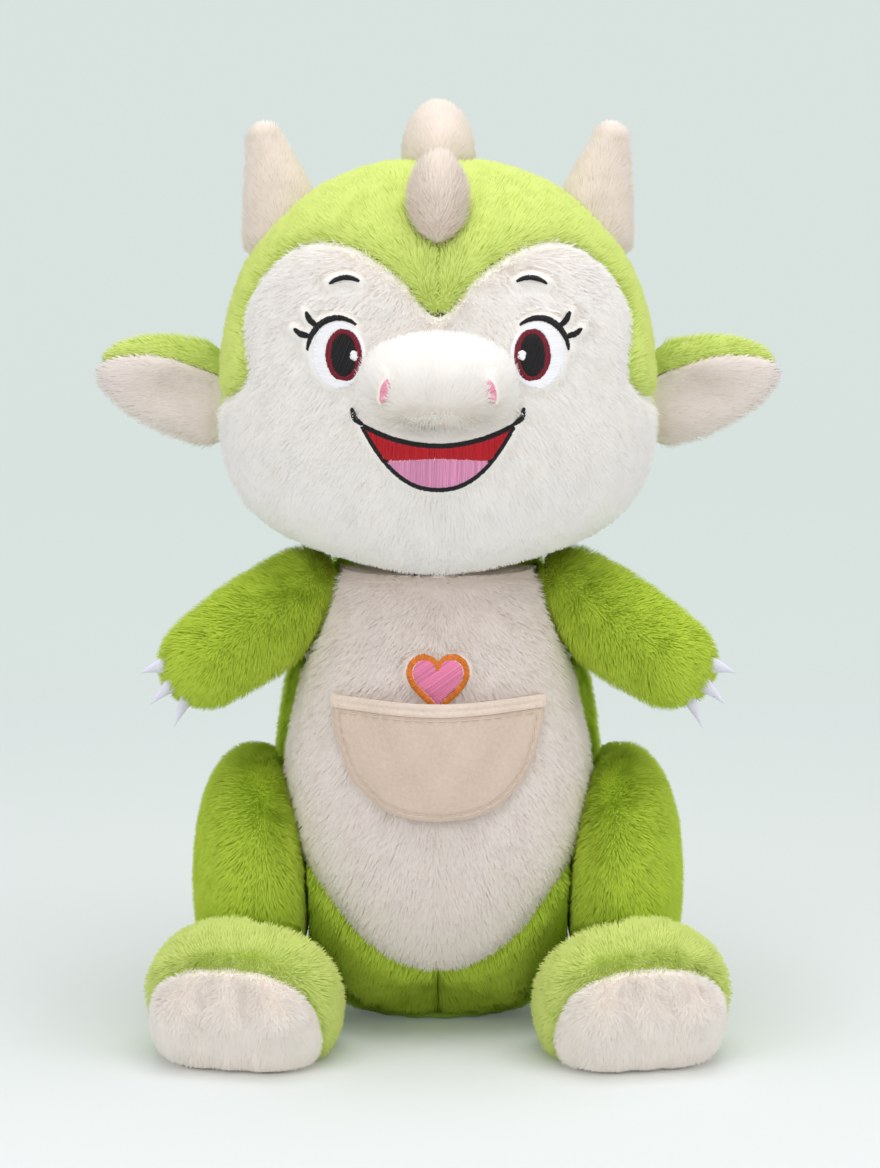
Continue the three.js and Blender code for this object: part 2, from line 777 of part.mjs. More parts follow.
// Head: two green crown halves and a cream face panel over the filling, open at the neck
function buildHead(group) {
  const neckSocket = socketSolid(neckCentre, neckRadius)
  const seams = sides.map(([, side]) => earSeamSolid(side, seamGap))
  const cut = solid => seams.reduce((rest, seam) => rest.subtract(seam), solid.subtract(neckSocket))
  const skin = cut(headSolid.subtract(stuffedSolid(headForm, -skinThickness, fillingDivisions)))
  addPiece(group, 'face_panel', skin.intersect(frontPrism(faceOutline, faceSideDepth)), creamPlush)
  const crown = skin.subtract(frontPrism(grown(faceOutline, seamGap), faceSideDepth - seamGap))
  for (const [name, side] of sides) {
    addPiece(group, `head_crown_${name}`, crown.intersect(onSide(side, seamGap / 2)), greenPlush)
  }
  const filling = stuffedSolid(headForm, -skinThickness - seamGap, fillingDivisions)
  addPiece(group, 'head_filling', cut(filling), fibre)
}

const muzzleForm = {
  centre: new THREE.Vector3(0, -muzzleDepth, muzzleHeight),
  halfWidth: muzzleHalfWidth,
  front: muzzleReach,
  back: muzzleReach,
  up: muzzleUp,
  down: muzzleDown,
  roundness: muzzleRoundness
}

// The mouth's outline, drawn in by an inset: an upper lip that dips in the middle and a deep lower curve
function mouthOutline(inset) {
  const half = mouthHalfWidth - mouthCornerShare * inset
  const lip = across => mouthCornerHeight - mouthLipDrop * (1 - (across / mouthHalfWidth) ** 2) - inset
  const points = []
  for (let i = 0; i <= curveSteps; i++) {
    const across = half * (1 - (2 * i) / curveSteps)
    points.push([across, lip(across)])
  }
  for (let i = 1; i < curveSteps; i++) {
    const across = half * ((2 * i) / curveSteps - 1)
    const fall = (mouthDepth - 2 * inset) * (1 - Math.abs(across / half) ** mouthRoundness)
    points.push([across, lip(half) - fall])
  }
  return points.reverse()
}

// Face: the muzzle dome, and the embroidery laid on it and on the face panel
function buildFace(group) {
  const muzzle = stuffedSolid(muzzleForm, 0, limbDivisions).subtract(headSeat)
  addPiece(group, 'muzzle', muzzle, creamPlush)
  const stitchLayer = (form, divisions) => stuffedSolid(form, seamGap + threadHeight, divisions)
    .subtract(stuffedSolid(form, seamGap, divisions))
  const clearOfMuzzle = stuffedSolid(muzzleForm, seamGap, limbDivisions)
  const onHead = stitchLayer(headForm, headDivisions).subtract(clearOfMuzzle)
  const onMuzzle = stitchLayer(muzzleForm, limbDivisions).subtract(headSeat)
  const stitch = (name, prism, look) => addPiece(group, name, onHead.intersect(prism), look)
  for (const [name, side] of sides) {
    const ellipse = (across, halfWidth, halfHeight, gap) => frontPrism(
      ellipseOutline(side * across, eyeHeight, halfWidth + gap, halfHeight + gap)
    )
    const highlightAcross = eyeCentre - highlightOffset
    const iris = gap => ellipse(eyeCentre, irisHalfWidth, irisHalfHeight, gap)
    const pupil = gap => ellipse(eyeCentre, pupilHalfWidth, pupilHalfHeight, gap)
    const highlight = gap => ellipse(highlightAcross, highlightRadius, highlightRadius, gap)
    const white = ellipse(eyeCentre + eyeWhiteShift, eyeWhiteHalfWidth, eyeWhiteHalfHeight, 0)
    stitch(`eye_white_${name}`, white.subtract(iris(seamGap)), whiteThread)
    stitch(`iris_${name}`, iris(0).subtract(pupil(seamGap)).subtract(highlight(seamGap)), irisThread)
    stitch(`pupil_${name}`, pupil(0).subtract(highlight(seamGap)), blackThread)
    stitch(`eye_highlight_${name}`, highlight(0), whiteThread)
    stitch(`eyelashes_${name}`, lashPrism(side), blackThread)
    const brow = [
      [side * (eyeCentre + browHalfLength), browHeight],
      [side * eyeCentre, browHeight + browArch],
      [side * (eyeCentre - browHalfLength), browHeight + browArch / 2]
    ]
    stitch(`brow_${name}`, frontPrism(lineOutline(brow, browWidth)), blackThread)
    const nostril = ellipseOutline(
      side * nostrilOffset, nostrilHeight, nostrilHalfWidth, nostrilHalfHeight, side * nostrilTilt
    )
    addPiece(group, `nostril_${name}`, onMuzzle.intersect(frontPrism(nostril)), pinkThread)
  }
  const opening = inset => frontPrism(mouthOutline(inset))
  const tongueTop = lift => [
    [-mouthHalfWidth, tongueHeight + lift],
    [0, tongueHeight + tongueSag + lift],
    [mouthHalfWidth, tongueHeight + lift],
    [mouthHalfWidth, mouthCornerHeight - mouthDepth - overrun],
    [-mouthHalfWidth, mouthCornerHeight - mouthDepth - overrun]
  ]
  const inner = opening(mouthLineWidth + seamGap)
  stitch('mouth_outline', opening(0).subtract(opening(mouthLineWidth)), blackThread)
  stitch('mouth_lining', inner.subtract(frontPrism(tongueTop(seamGap))), redThread)
  stitch('tongue', inner.intersect(frontPrism(tongueTop(0))), pinkThread)
}

// The lash line over the outer half of the eye white, with two lashes that flick outwards
function lashPrism(side) {
  const centre = eyeCentre + eyeWhiteShift
  const reach = eyeWhiteHalfWidth + seamGap + lashWidth / 2
  const rise = eyeWhiteHalfHeight + seamGap + lashWidth / 2
  const onArc = turn => [side * (centre + reach * Math.cos(turn)), eyeHeight + rise * Math.sin(turn)]
  const arc = frontPrism(lineOutline(lashArcTurns.map(onArc), lashWidth))
  return lashTurns.reduce((whole, turn, i) => {
    const root = onArc(turn)
    const lift = lashLifts[i]
    const tip = [root[0] + side * lashLength * Math.cos(lift), root[1] + lashLength * Math.sin(lift)]
    return whole.add(frontPrism(lineOutline([root, tip], lashWidth)))
  }, arc)
}

// Horns: turned cones with a ball tip, leaning outwards, seated on the crown
function buildHorns(group) {
  for (const [name, side] of sides) {
    const foot = new THREE.Vector3(side * hornSpread, hornDepth, hornFoot)
    const along = new THREE.Vector3(side * Math.sin(hornLean), 0, Math.cos(hornLean))
    const tip = foot.clone().addScaledVector(along, hornLength - hornTipRadius)
    const radius = share => THREE.MathUtils.lerp(hornBaseRadius, hornTipRadius, share ** hornFullness)
    const divisions = [limbDivisions[0], finDivisions[1] / 2]
    const cone = sleeveSolid(new THREE.LineCurve3(foot, tip), radius, 0, divisions)
    addPiece(group, `horn_${name}`, cone.subtract(headSeat), creamPlush)
  }
}

// A crest fin: a stuffed leaf standing on the middle seam and leaning back along it
function finSolid(foot, along, sizeShare) {
  const finForm = {
    centre: new THREE.Vector3(0, 0, 0),
    halfWidth: finHalfThickness * sizeShare,
    front: finFront * sizeShare,
    back: finBack * sizeShare,
    up: finRise * sizeShare,
    down: finSink * sizeShare,
    roundness: finRoundness
  }
  const leaf = geometryOf(stuffedSolid(finForm, 0, finDivisions))
  const lean = new THREE.Matrix4().makeShear(0, 0, 0, 0, 0, Math.tan(finLean))
  const across = new THREE.Vector3(1, 0, 0)
  const outward = new THREE.Vector3().crossVectors(across, along)
  leaf.applyMatrix4(new THREE.Matrix4().makeBasis(across, along, outward).multiply(lean))
  leaf.translate(...foot.toArray())
  return solidOf(leaf)
}

// Fins on a stuffed form, each at a turn over its middle from the front
function addFins(group, label, form, seat, turns, sizeShares) {
  const onSeam = turn => stuffedPoint(form, new THREE.Vector3(0, -Math.cos(turn), Math.sin(turn)), 0)
  turns.forEach((turn, i) => {
    const along = onSeam(turn + finLean / 2).sub(onSeam(turn - finLean / 2)).normalize()
    const fin = finSolid(onSeam(turn), along, sizeShares[i])
    addPiece(group, `${label}_${i + 1}`, fin.subtract(seat), creamPlush)
  })
}

// Ears: a leaf joined to its seam roll, folded along a slant into a green back and a cream lining
function buildEar(group, name, side) {
  const leafForm = {
    centre: new THREE.Vector3(0, 0, 0),
    halfWidth: earHalfThickness,
    front: earLength * (1 - earWidestShare),
    back: earLength * earRootShare,
    up: earHalfHeight,
    down: earHalfHeight,
    roundness: earRoundness
  }
  const root = new THREE.Vector3(side * earRootWidth, earDepth, earHeight)
  const leaf = geometryOf(stuffedSolid(leafForm, 0, limbDivisions))
  leaf.rotateZ(side * Math.PI / 2)
  leaf.translate(side * earLength * earWidestShare, 0, 0)
  bendLeaf(leaf, side)
  leaf.translate(...root.toArray())
  const clear = onSide(side, earRootWidth + earSeamRadius * earTrimShare)
  const whole = solidOf(leaf).intersect(clear).add(earSeamSolid(side, 0))
  const lining = new THREE.Vector3(side * earFoldOutwardShare, -Math.cos(earFold), -Math.sin(earFold))
  lining.normalize()
  const onFold = root.clone().add(new THREE.Vector3(0, 0, earFoldLift))
  const behindFold = onFold.clone().addScaledVector(lining, -seamGap)
  const back = whole.intersect(halfSpace(behindFold, lining.clone().negate()))
  addPiece(group, `ear_lining_${name}`, whole.intersect(halfSpace(onFold, lining)), creamPlush)
  addPiece(group, `ear_back_${name}`, back, greenPlush)
}

// The leaf narrows at its seam so that it can swing, and lifts and narrows toward its tip
function bendLeaf(leaf, side) {
  const corners = leaf.attributes.position
  for (let i = 0; i < corners.count; i++) {
    const out = (corners.getX(i) * side) / earLength
    const share = THREE.MathUtils.clamp(out, 0, 1)
    const rootShare = THREE.MathUtils.smoothstep(out, 0, 2 * earRootShare)
    const thickness = THREE.MathUtils.lerp(earSeamRadius * earNeckShare / earHalfThickness, 1, rootShare)
    corners.setY(i, corners.getY(i) * thickness)
    corners.setZ(i, corners.getZ(i) + earTipLift * share)
  }
}

function buildArm(group, name, side) {
  const spine = armSpine(side)
  const sleeve = sleeveSolid(spine, armRadius, 0, limbDivisions)
  addPiece(group, `arm_${name}`, sleeve, greenPlush)
  const seat = sleeveSolid(spine, armRadius, seamGap, limbDivisions)
  const along = spine.getTangent(1)
  const level = new THREE.Vector3().crossVectors(along, new THREE.Vector3(0, 1, 0)).normalize()
  const swing = new THREE.Vector3().crossVectors(level, along).normalize()
  for (let i = 0; i < clawCount; i++) {
    const heading = along.clone().applyAxisAngle(swing, (i - (clawCount - 1) / 2) * clawFan)
    const claw = clawSolid(spine.getPoint(1), heading).subtract(seat)
    addPiece(group, `claw_${name}_${i + 1}`, claw, clawSatin)
  }
}

// A claw: a flat satin point, sewn into the end of the paw
function clawSolid(pawCentre, heading) {
  const rootAt = pawRadius - clawSink
  const point = new THREE.ConeGeometry(1, clawLength + clawSink, clawSides)
  point.translate(0, rootAt + (clawLength + clawSink) / 2, 0)
  point.scale(clawHalfWidth, 1, clawHalfThickness)
  point.applyQuaternion(new THREE.Quaternion().setFromUnitVectors(new THREE.Vector3(0, 1, 0), heading))
  point.translate(...pawCentre.toArray())
  return solidOf(point)
}

// Legs: the haunch, the foot sewn to its front, and a cream cap over three toes
function buildLeg(group, name, side) {
  addPiece(group, `haunch_${name}`, haunchSolid(side, 0).intersect(aboveFloor), greenPlush)
  const footForm = {
    centre: new THREE.Vector3(0, 0, footHeight - footBelow),
    halfWidth: footHalfWidth,
    front: footFront,
    back: footBack,
    up: footBelow,
    down: footBelow,
    roundness: footRoundness,
    swells: toeTurns.map((turn, i) => ({
      toward: new THREE.Vector3(Math.sin(turn), -Math.cos(turn), 0),
      height: toeSwell * toeSizeShares[i],
      spreadShare: toeSpreadShare
    }))
  }
  const placed = solid => {
    const geometry = geometryOf(solid)
    geometry.rotateZ(side * footSplay)
    geometry.translate(side * footSpread, -footDepth, 0)
    return solidOf(geometry)
  }
  const capPoint = new THREE.Vector3(0, -toeCapStart, footHeight)
  const capFacing = new THREE.Vector3(0, -Math.cos(toeCapLean), -Math.sin(toeCapLean))
  const whole = stuffedSolid(footForm, 0, footDivisions)
  const cap = whole.intersect(halfSpace(capPoint, capFacing))
  const behindCap = capPoint.clone().addScaledVector(capFacing, -seamGap)
  const rest = whole.intersect(halfSpace(behindCap, capFacing.clone().negate()))
  const swing = new THREE.CylinderGeometry(footClearance, footClearance, hipSpread, 2 * limbDivisions[0])
  swing.rotateZ(Math.PI / 2)
  swing.translate(side * hipSpread / 2, -hipDepth, hipHeight)
  const cut = solid => placed(solid)
    .intersect(aboveFloor)
    .subtract(haunchSolid(side, seamGap))
    .subtract(solidOf(swing))
  addPiece(group, `foot_${name}`, cut(rest), greenPlush)
  addPiece(group, `toe_cap_${name}`, cut(cap), creamPlush)
}

// Tail: a taper flat on the floor, with the last of the crest along it
function buildTail(group) {
  const sleeve = sleeveSolid(tailSpine, tailRadius, 0, limbDivisions)
  addPiece(group, 'tail', sleeve.intersect(aboveFloor), greenPlush)
  const seat = sleeveSolid(tailSpine, tailRadius, seamGap, limbDivisions)
  tailFinShares.forEach((share, i) => {
    const foot = tailSpine.getPoint(share)
    foot.z += tailRadius(share)
    const fin = finSolid(foot, tailSpine.getTangent(share), tailFinSizeShares[i])
    addPiece(group, `tail_fin_${i + 1}`, fin.subtract(seat), creamPlush)
  })
}

buildTorso(toy)
buildPocket(toy)
const torsoSeat = stuffedSolid(torsoForm, seamGap, torsoDivisions)
addFins(toy, 'back_fin', torsoForm, torsoSeat, backFinTurns, backFinSizeShares)
const head = bodyGroup(toy, neckCentre)
buildHead(head)
buildFace(head)
buildHorns(head)
addFins(head, 'head_fin', headForm, headSeat, headFinTurns, headFinSizeShares)
for (const [name, side] of sides) {
  const ear = bodyGroup(head, new THREE.Vector3(side * earRootWidth, earDepth, earHeight))
  buildEar(ear, name, side)
  const arm = bodyGroup(toy, armSpine(side).getPoint(0))
  buildArm(arm, name, side)
  const leg = bodyGroup(toy, hip(side))
  buildLeg(leg, name, side)
}
const tail = bodyGroup(toy, tailRoot)
buildTail(tail)

export default toy
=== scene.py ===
# A seated plush dragon: green pile skins over fibre, cream face, belly, horns, fins and toe caps,
# an embroidered face and a smooth pocket. Everything is in metres, the face looks toward -Y, +Z is up,
# and left is -X, as seen from the front.
import math

import bmesh
import bpy
import numpy as np
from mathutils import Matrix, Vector
from mathutils.bvhtree import BVHTree


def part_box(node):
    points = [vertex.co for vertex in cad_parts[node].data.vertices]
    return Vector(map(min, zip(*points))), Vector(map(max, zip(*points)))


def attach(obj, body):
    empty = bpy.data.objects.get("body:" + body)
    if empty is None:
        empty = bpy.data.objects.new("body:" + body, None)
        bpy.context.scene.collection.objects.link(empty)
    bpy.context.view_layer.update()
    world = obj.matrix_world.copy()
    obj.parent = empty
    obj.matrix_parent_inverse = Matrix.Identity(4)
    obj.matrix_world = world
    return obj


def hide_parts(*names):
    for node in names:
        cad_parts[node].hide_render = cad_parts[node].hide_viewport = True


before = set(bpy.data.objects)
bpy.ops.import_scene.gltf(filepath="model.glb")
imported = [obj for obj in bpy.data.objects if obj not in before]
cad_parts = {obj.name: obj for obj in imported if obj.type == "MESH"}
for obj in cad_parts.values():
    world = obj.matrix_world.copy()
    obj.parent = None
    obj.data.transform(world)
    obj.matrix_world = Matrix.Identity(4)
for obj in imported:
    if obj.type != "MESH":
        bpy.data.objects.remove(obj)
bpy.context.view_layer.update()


# The setting: a pale sheet that runs along the floor and curves up behind the toy, under a broad soft
# lamp overhead and two weaker ones in front. The camera stands a metre off, a little above the toy.
CAMERA_PLACE = (0, -0.975, 0.275)
CAMERA_PITCH = math.radians(8)
CAMERA_LENS = 97.5
CAMERA_SHIFT = (0.0017, 0)
SHEET_HALF_WIDTH = 3
SHEET_FRONT = -2.2
SHEET_BEND = 1.7
SHEET_BEND_RADIUS = 0.35
SHEET_TOP = 2.2
FLOOR_COLOUR = (0.8, 0.825, 0.82, 1)
BACKDROP_COLOUR = (0.7, 0.78, 0.75, 1)
BACKDROP_SHARE = 0.92
BACKDROP_START = -0.1
BACKDROP_END = 0.8
WORLD_COLOUR = (0.95, 0.98, 1, 1)
WORLD_STRENGTH = 0.62
LAMPS = {
    "lamp_overhead": {"place": (0.1, -0.25, 1.3), "size": 1.1, "power": 9},
    "lamp_left": {"place": (-0.9, -1.1, 0.75), "size": 0.8, "power": 3.8},
    "lamp_right": {"place": (1.1, -0.9, 0.6), "size": 0.8, "power": 2.8},
}
LAMP_AIM = Vector((0, 0, 0.14))


def add_camera():
    lens = bpy.data.cameras.new("camera")
    lens.lens = CAMERA_LENS
    lens.shift_x, lens.shift_y = CAMERA_SHIFT
    camera = bpy.data.objects.new("camera", lens)
    camera.location = CAMERA_PLACE
    camera.rotation_euler = (math.pi / 2 - CAMERA_PITCH, 0, 0)
    bpy.context.scene.collection.objects.link(camera)
    bpy.context.scene.camera = camera


def add_lamp(name, place, size, power):
    lamp = bpy.data.lights.new(name, "AREA")
    lamp.size = size
    lamp.energy = power
    holder = bpy.data.objects.new(name, lamp)
    holder.location = place
    holder.rotation_euler = (LAMP_AIM - Vector(place)).to_track_quat("-Z", "Y").to_euler()
    bpy.context.scene.collection.objects.link(holder)


def feed(tree, node, inputs):
    """Each given input of a node gets its value, or a link where that is another node's output."""
    for key, value in inputs.items():
        if isinstance(value, bpy.types.NodeSocket):
            tree.links.new(value, node.inputs[key])
        else:
            node.inputs[key].default_value = value


def put(tree, kind, inputs=None, **settings):
    """A new node with its settings and its inputs."""
    node = tree.nodes.new(kind)
    for key, setting in settings.items():
        setattr(node, key, setting)
    feed(tree, node, inputs or {})
    return node


def new_material(name):
    """A material, its tree of nodes and the surface in it."""
    look = bpy.data.materials.new(name)
    look.use_nodes = True
    return look, look.node_tree, look.node_tree.nodes["Principled BSDF"]


def sheet_material():
    """White paper that fades with distance into one pale colour, which only the camera sees."""
    look, tree, surface = new_material("backdrop_paper")
    feed(tree, surface, {"Base Color": FLOOR_COLOUR, "Roughness": 0.95, "Specular IOR Level": 0})
    place = put(tree, "ShaderNodeTexCoord").outputs["Object"]
    depth = put(tree, "ShaderNodeSeparateXYZ", {"Vector": place}).outputs["Y"]
    fade = put(tree, "ShaderNodeMapRange", {
        "Value": depth, "From Min": BACKDROP_START, "From Max": BACKDROP_END, "To Max": BACKDROP_SHARE,
    }).outputs["Result"]
    seen = put(tree, "ShaderNodeLightPath").outputs["Is Camera Ray"]
    share = put(tree, "ShaderNodeMath", {0: fade, 1: seen}, operation="MULTIPLY").outputs[0]
    haze = put(tree, "ShaderNodeEmission", {"Color": BACKDROP_COLOUR}).outputs["Emission"]
    blend = put(tree, "ShaderNodeMixShader", {"Fac": share, 1: surface.outputs["BSDF"], 2: haze})
    feed(tree, tree.nodes["Material Output"], {"Surface": blend.outputs["Shader"]})
    return look


def add_backdrop():
    profile = [(SHEET_FRONT, 0), (SHEET_BEND, 0)]
    bend_steps = 16
    for k in range(1, bend_steps + 1):
        turn = k / bend_steps * math.pi / 2
        rise = SHEET_BEND_RADIUS * (1 - math.cos(turn))
        profile.append((SHEET_BEND + SHEET_BEND_RADIUS * math.sin(turn), rise))
    profile.append((SHEET_BEND + SHEET_BEND_RADIUS, SHEET_TOP))
    corners = [(side * SHEET_HALF_WIDTH, y, z) for y, z in profile for side in (-1, 1)]
    faces = [(2 * k, 2 * k + 1, 2 * k + 3, 2 * k + 2) for k in range(len(profile) - 1)]
    mesh = bpy.data.meshes.new("backdrop")
    mesh.from_pydata(corners, [], faces)
    mesh.shade_smooth()
    mesh.materials.append(sheet_material())
    backdrop = bpy.data.objects.new("backdrop", mesh)
    bpy.context.scene.collection.objects.link(backdrop)


def light_world():
    world = bpy.data.worlds.new("studio")
    world.use_nodes = True
    tree = world.node_tree
    feed(tree, tree.nodes["Background"], {"Color": WORLD_COLOUR, "Strength": WORLD_STRENGTH})
    bpy.context.scene.world = world


add_camera()
add_backdrop()
light_world()
for lamp_name, lamp_facts in LAMPS.items():
    add_lamp(lamp_name, **lamp_facts)
bpy.context.scene.view_settings.view_transform = "Standard"


# The torso: two green back panels and a cream belly panel, sewn over a pear of loose fibre, with a flat
# green gusset under the seat. The seams draw the cloth in, and the pile is left out where limbs press.
SEAM_GAP = 0.0003
CLOTH_SINK = 0.0015
CLOTH_THICKNESS = 0.0011
SEAM_DEPTH = 0.0016
SEAM_WIDTH = 0.0026
SEAM_PILE_SHARE = 0.4
TORSO_FORM = {
    "centre": (0, 0, 0.074), "half_width": 0.052, "front": 0.045, "back": 0.042, "up": 0.092, "down": 0.08,
    "roundness": (2.1, 2.3, 2.2), "taper_share": 0.1, "swells": [((0, -0.48, -0.88), -0.013, 0.5)],
}
SHOULDER_HEIGHT = 0.1455
NECK_CENTRE = np.array((0, 0.002, 0.132))
NECK_RADIUS = 0.027
GUSSET_TOP = 0.0022
BELLY_SEAM = [
    (0, 0.0225), (0.0187, 0.031), (0.033, 0.048), (0.0455, 0.068), (0.0465, 0.088), (0.0425, 0.108),
    (0.0395, 0.124), (0.033, 0.1435), (0, 0.1445),
]
TORSO_DIVISIONS = 60
LIMB_FADE = (0.0004, 0.0022)
FLOOR_FADE = (0.001, 0.004)
NECK_FADE = (0.003, 0.008)
POCKET_FADE = (-0.0004, 0.0012)
HEART_FADE = (-0.0017, -0.0005)
HEART_RISE = (-0.0016, 0.0002)
TORSO_PARTING = 0.35
ARM_TURNS = (-20, 0, 22, 45)
TAIL_CLEARANCE = 0.0006
TAIL_RADII = ((0, 0.5, 1), (0.0215, 0.0159, 0.008))
POCKET_TOP = 0.109
POCKET_BARE_TOP = 0.1035
POCKET_HALF_WIDTH = 0.0315
POCKET_DROP = 0.036
POCKET_ROUNDNESS = 2.4
HEART_FOOT = 0.103
HEART_HEIGHT = 0.019
HEART_HALF_WIDTH = 0.0095
HEART_BORDER = 0.0017
HEART_LIFT = 0.0017
PILE_LENGTH = 0.0034
PILE_WIDTH = 0.00045
PILE_DENSITY = 4.2e6
PILE_LEAN = 1.1
PILE_TWIST = 1.4
PILE_TAPER = 0.8
UPRIGHT_SHARE = 0.5
PILE_LOCK_SIZE = 0.005
PILE_LOCK_STRENGTH = 0.75
PILE_SHAKE = 0.18
PILE_VARIETY = (0.72, 1.12)
PILE_GROWTH_POWER = 0.7
PILE_LAID_FULLY = 0.35
PILE_FACING_SHARE = 0.3


def ball_grid(divisions):
    """Directions and faces of a ball made of six evenly divided squares."""
    ball = bmesh.new()
    bmesh.ops.create_cube(ball, size=2)
    bmesh.ops.subdivide_edges(ball, edges=ball.edges[:], cuts=divisions - 1, use_grid_fill=True)
    ball.verts.index_update()
    corners = np.array([corner.co for corner in ball.verts])
    faces = [[corner.index for corner in face.verts] for face in ball.faces]
    ball.free()
    rounded = np.tan(corners * math.pi / 4)
    return rounded / np.linalg.norm(rounded, axis=1, keepdims=True), faces


def stuffed_points(form, directions, proud=0.0):
    """Where the surface of a stuffed form lies in each direction: a rounded egg with its own radius on
    each side, tapered upwards, with local swells, standing proud of its size by a distance."""
    x, y, z = directions.T
    level = np.hypot(x, y)
    around, above, below = form["roundness"]
    power = np.where(z > 0, above, below)
    upright = (level ** power + np.abs(z) ** power) ** (-1 / power)
    heading = np.arctan2(y, x)
    across, along = np.cos(heading), np.sin(heading)
    spread = (np.abs(across) ** around + np.abs(along) ** around) ** (-1 / around)
    taper = 1 - form.get("taper_share", 0) * z * upright
    depth = np.where(y < 0, form["front"], form["back"])
    rise = np.where(z > 0, form["up"], form["down"])
    reach = level * upright * spread * taper
    points = np.column_stack((form["half_width"] * across * reach, depth * along * reach, rise * z * upright))
    outward = np.column_stack((x / form["half_width"], y / depth, z / rise))
    outward /= np.linalg.norm(outward, axis=1, keepdims=True)
    swell = np.full(len(directions), float(proud))
    for toward, height, spread_share in form.get("swells", ()):
        toward = np.array(toward) / np.linalg.norm(toward)
        distance = np.linalg.norm(directions - toward, axis=1) / spread_share
        swell += height * np.exp(-distance ** 2)
    return points + outward * swell[:, None] + np.array(form["centre"])


def stuffed_surface(form, divisions, proud=0.0):
    directions, faces = ball_grid(divisions)
    return stuffed_points(form, directions, proud), faces


def normals_of(points, faces):
    mesh = bpy.data.meshes.new("probe")
    mesh.from_pydata(points.tolist(), [], faces)
    normals = np.empty(len(points) * 3, np.float32)
    mesh.vertex_normals.foreach_get("vector", normals)
    bpy.data.meshes.remove(mesh)
    return normals.reshape(-1, 3).astype(float)


def tree_of(points, faces):
    return BVHTree.FromPolygons([Vector(point) for point in points], faces)


def clearance(points, neighbour):
    """How far each point is outside a neighbour's closed surface; inside it, the distance is negative."""
    distances = np.empty(len(points))
    for i, point in enumerate(points):
        place, normal, _, distance = neighbour.find_nearest(point)
        distances[i] = math.copysign(distance, (Vector(point) - place).dot(normal))
    return distances


def press_in(points, inward, neighbour, gap):
    """The cloth that a neighbour would cross is pushed inwards until it lies against the neighbour."""
    pressed = points.copy()
    for i in np.nonzero(clearance(points, neighbour) < 0)[0]:
        place = neighbour.ray_cast(Vector(points[i]), Vector(inward[i]))[0]
        if place is not None:
            pressed[i] = np.array(place) + inward[i] * gap
    return pressed


def lift_out(points, neighbour, gap):
    """Points inside a neighbour are moved to just outside its nearest surface."""
    lifted = points.copy()
    for i in np.nonzero(clearance(points, neighbour) < gap)[0]:
        place, normal, _, _ = neighbour.find_nearest(points[i])
        lifted[i] = np.array(place + normal * gap)
    return lifted


def rounded_outline(corners, steps=6):
    """A closed smooth curve through corners in X and Z."""
    corners = np.array(corners, float)
    curve = []
    for k in range(len(corners)):
        before, start, end, after = (corners[(k + j) % len(corners)] for j in (-1, 0, 1, 2))
        for step in range(steps):
            t = step / steps
            bend = 2 * start + (end - before) * t + (2 * before - 5 * start + 4 * end - after) * t ** 2
            curve.append((bend + (3 * start - before - 3 * end + after) * t ** 3) / 2)
    return np.array(curve)


def mirrored(half):
    """Both halves of an outline given for the right side, from bottom to top."""
    return half + [(-across, height) for across, height in reversed(half) if across > 0]


def inside_distance(points, outline):
    """How far inside an outline in X and Z each point is, seen from the front; outside is negative."""
    across, height = points[:, 0], points[:, 2]
    inside = np.zeros(len(points), bool)
    nearest = np.full(len(points), np.inf)
    for start, end in zip(outline, np.roll(outline, -1, axis=0)):
        edge = end - start
        share = ((across - start[0]) * edge[0] + (height - start[1]) * edge[1]) / max(edge @ edge, 1e-12)
        share = np.clip(share, 0, 1)
        gap = np.hypot(across - start[0] - share * edge[0], height - start[1] - share * edge[1])
        nearest = np.minimum(nearest, gap)
        crossed = (start[1] > height) != (end[1] > height)
        run = edge[0] / edge[1] if edge[1] else 0
        inside ^= crossed & (across < start[0] + (height - start[1]) * run)
    return np.where(inside, nearest, -nearest)


def pocket_outline(top=POCKET_TOP, inset=0.0):
    """The pocket's edge in X and Z, from its left top corner round the bottom to the right one."""
    drop = POCKET_DROP - inset
    fall = np.linspace(0, 1, 41)
    fall = np.sin(fall * math.pi / 2) * drop
    fall = fall[fall >= POCKET_TOP - top]
    half = (POCKET_HALF_WIDTH - inset) * (1 - (fall / drop) ** POCKET_ROUNDNESS) ** (1 / POCKET_ROUNDNESS)
    left = np.column_stack((-half, POCKET_TOP - fall))
    return np.vstack((left, (left * (-1, 1))[::-1][1:]))


def heart_outline(inset=0.0):
    turn = np.linspace(0, 2 * math.pi, 60, endpoint=False)
    rise = 13 * np.cos(turn) - 5 * np.cos(2 * turn) - 2 * np.cos(3 * turn) - np.cos(4 * turn)
    tall = HEART_HEIGHT - 2.4 * inset
    across = (HEART_HALF_WIDTH - inset) * np.sin(turn) ** 3
    return np.column_stack((across, HEART_FOOT + 1.6 * inset + tall * (rise + 17) / 29))


def smooth_step(values, low, high):
    share = np.clip((values - low) / (high - low), 0, 1)
    return share * share * (3 - 2 * share)


def draw_in(points, inward, distances, depth=SEAM_DEPTH, width=SEAM_WIDTH):
    """The cloth sinks along a seam, given how far each point is from it."""
    return points + inward * (depth * np.exp(-(distances / width) ** 2))[:, None]


def link_piece(name, points, faces, look):
    mesh = bpy.data.meshes.new(name)
    mesh.from_pydata(points.tolist(), [], faces)
    mesh.shade_smooth()
    mesh.materials.append(look)
    piece = bpy.data.objects.new(name, mesh)
    bpy.context.scene.collection.objects.link(piece)
    return piece


def write_attribute(mesh, name, values):
    kind = "FLOAT_VECTOR" if values.ndim == 2 else "FLOAT"
    entry = mesh.attributes.new(name, kind, "POINT")
    key = "vector" if values.ndim == 2 else "value"
    entry.data.foreach_set(key, values.astype(np.float32).ravel())


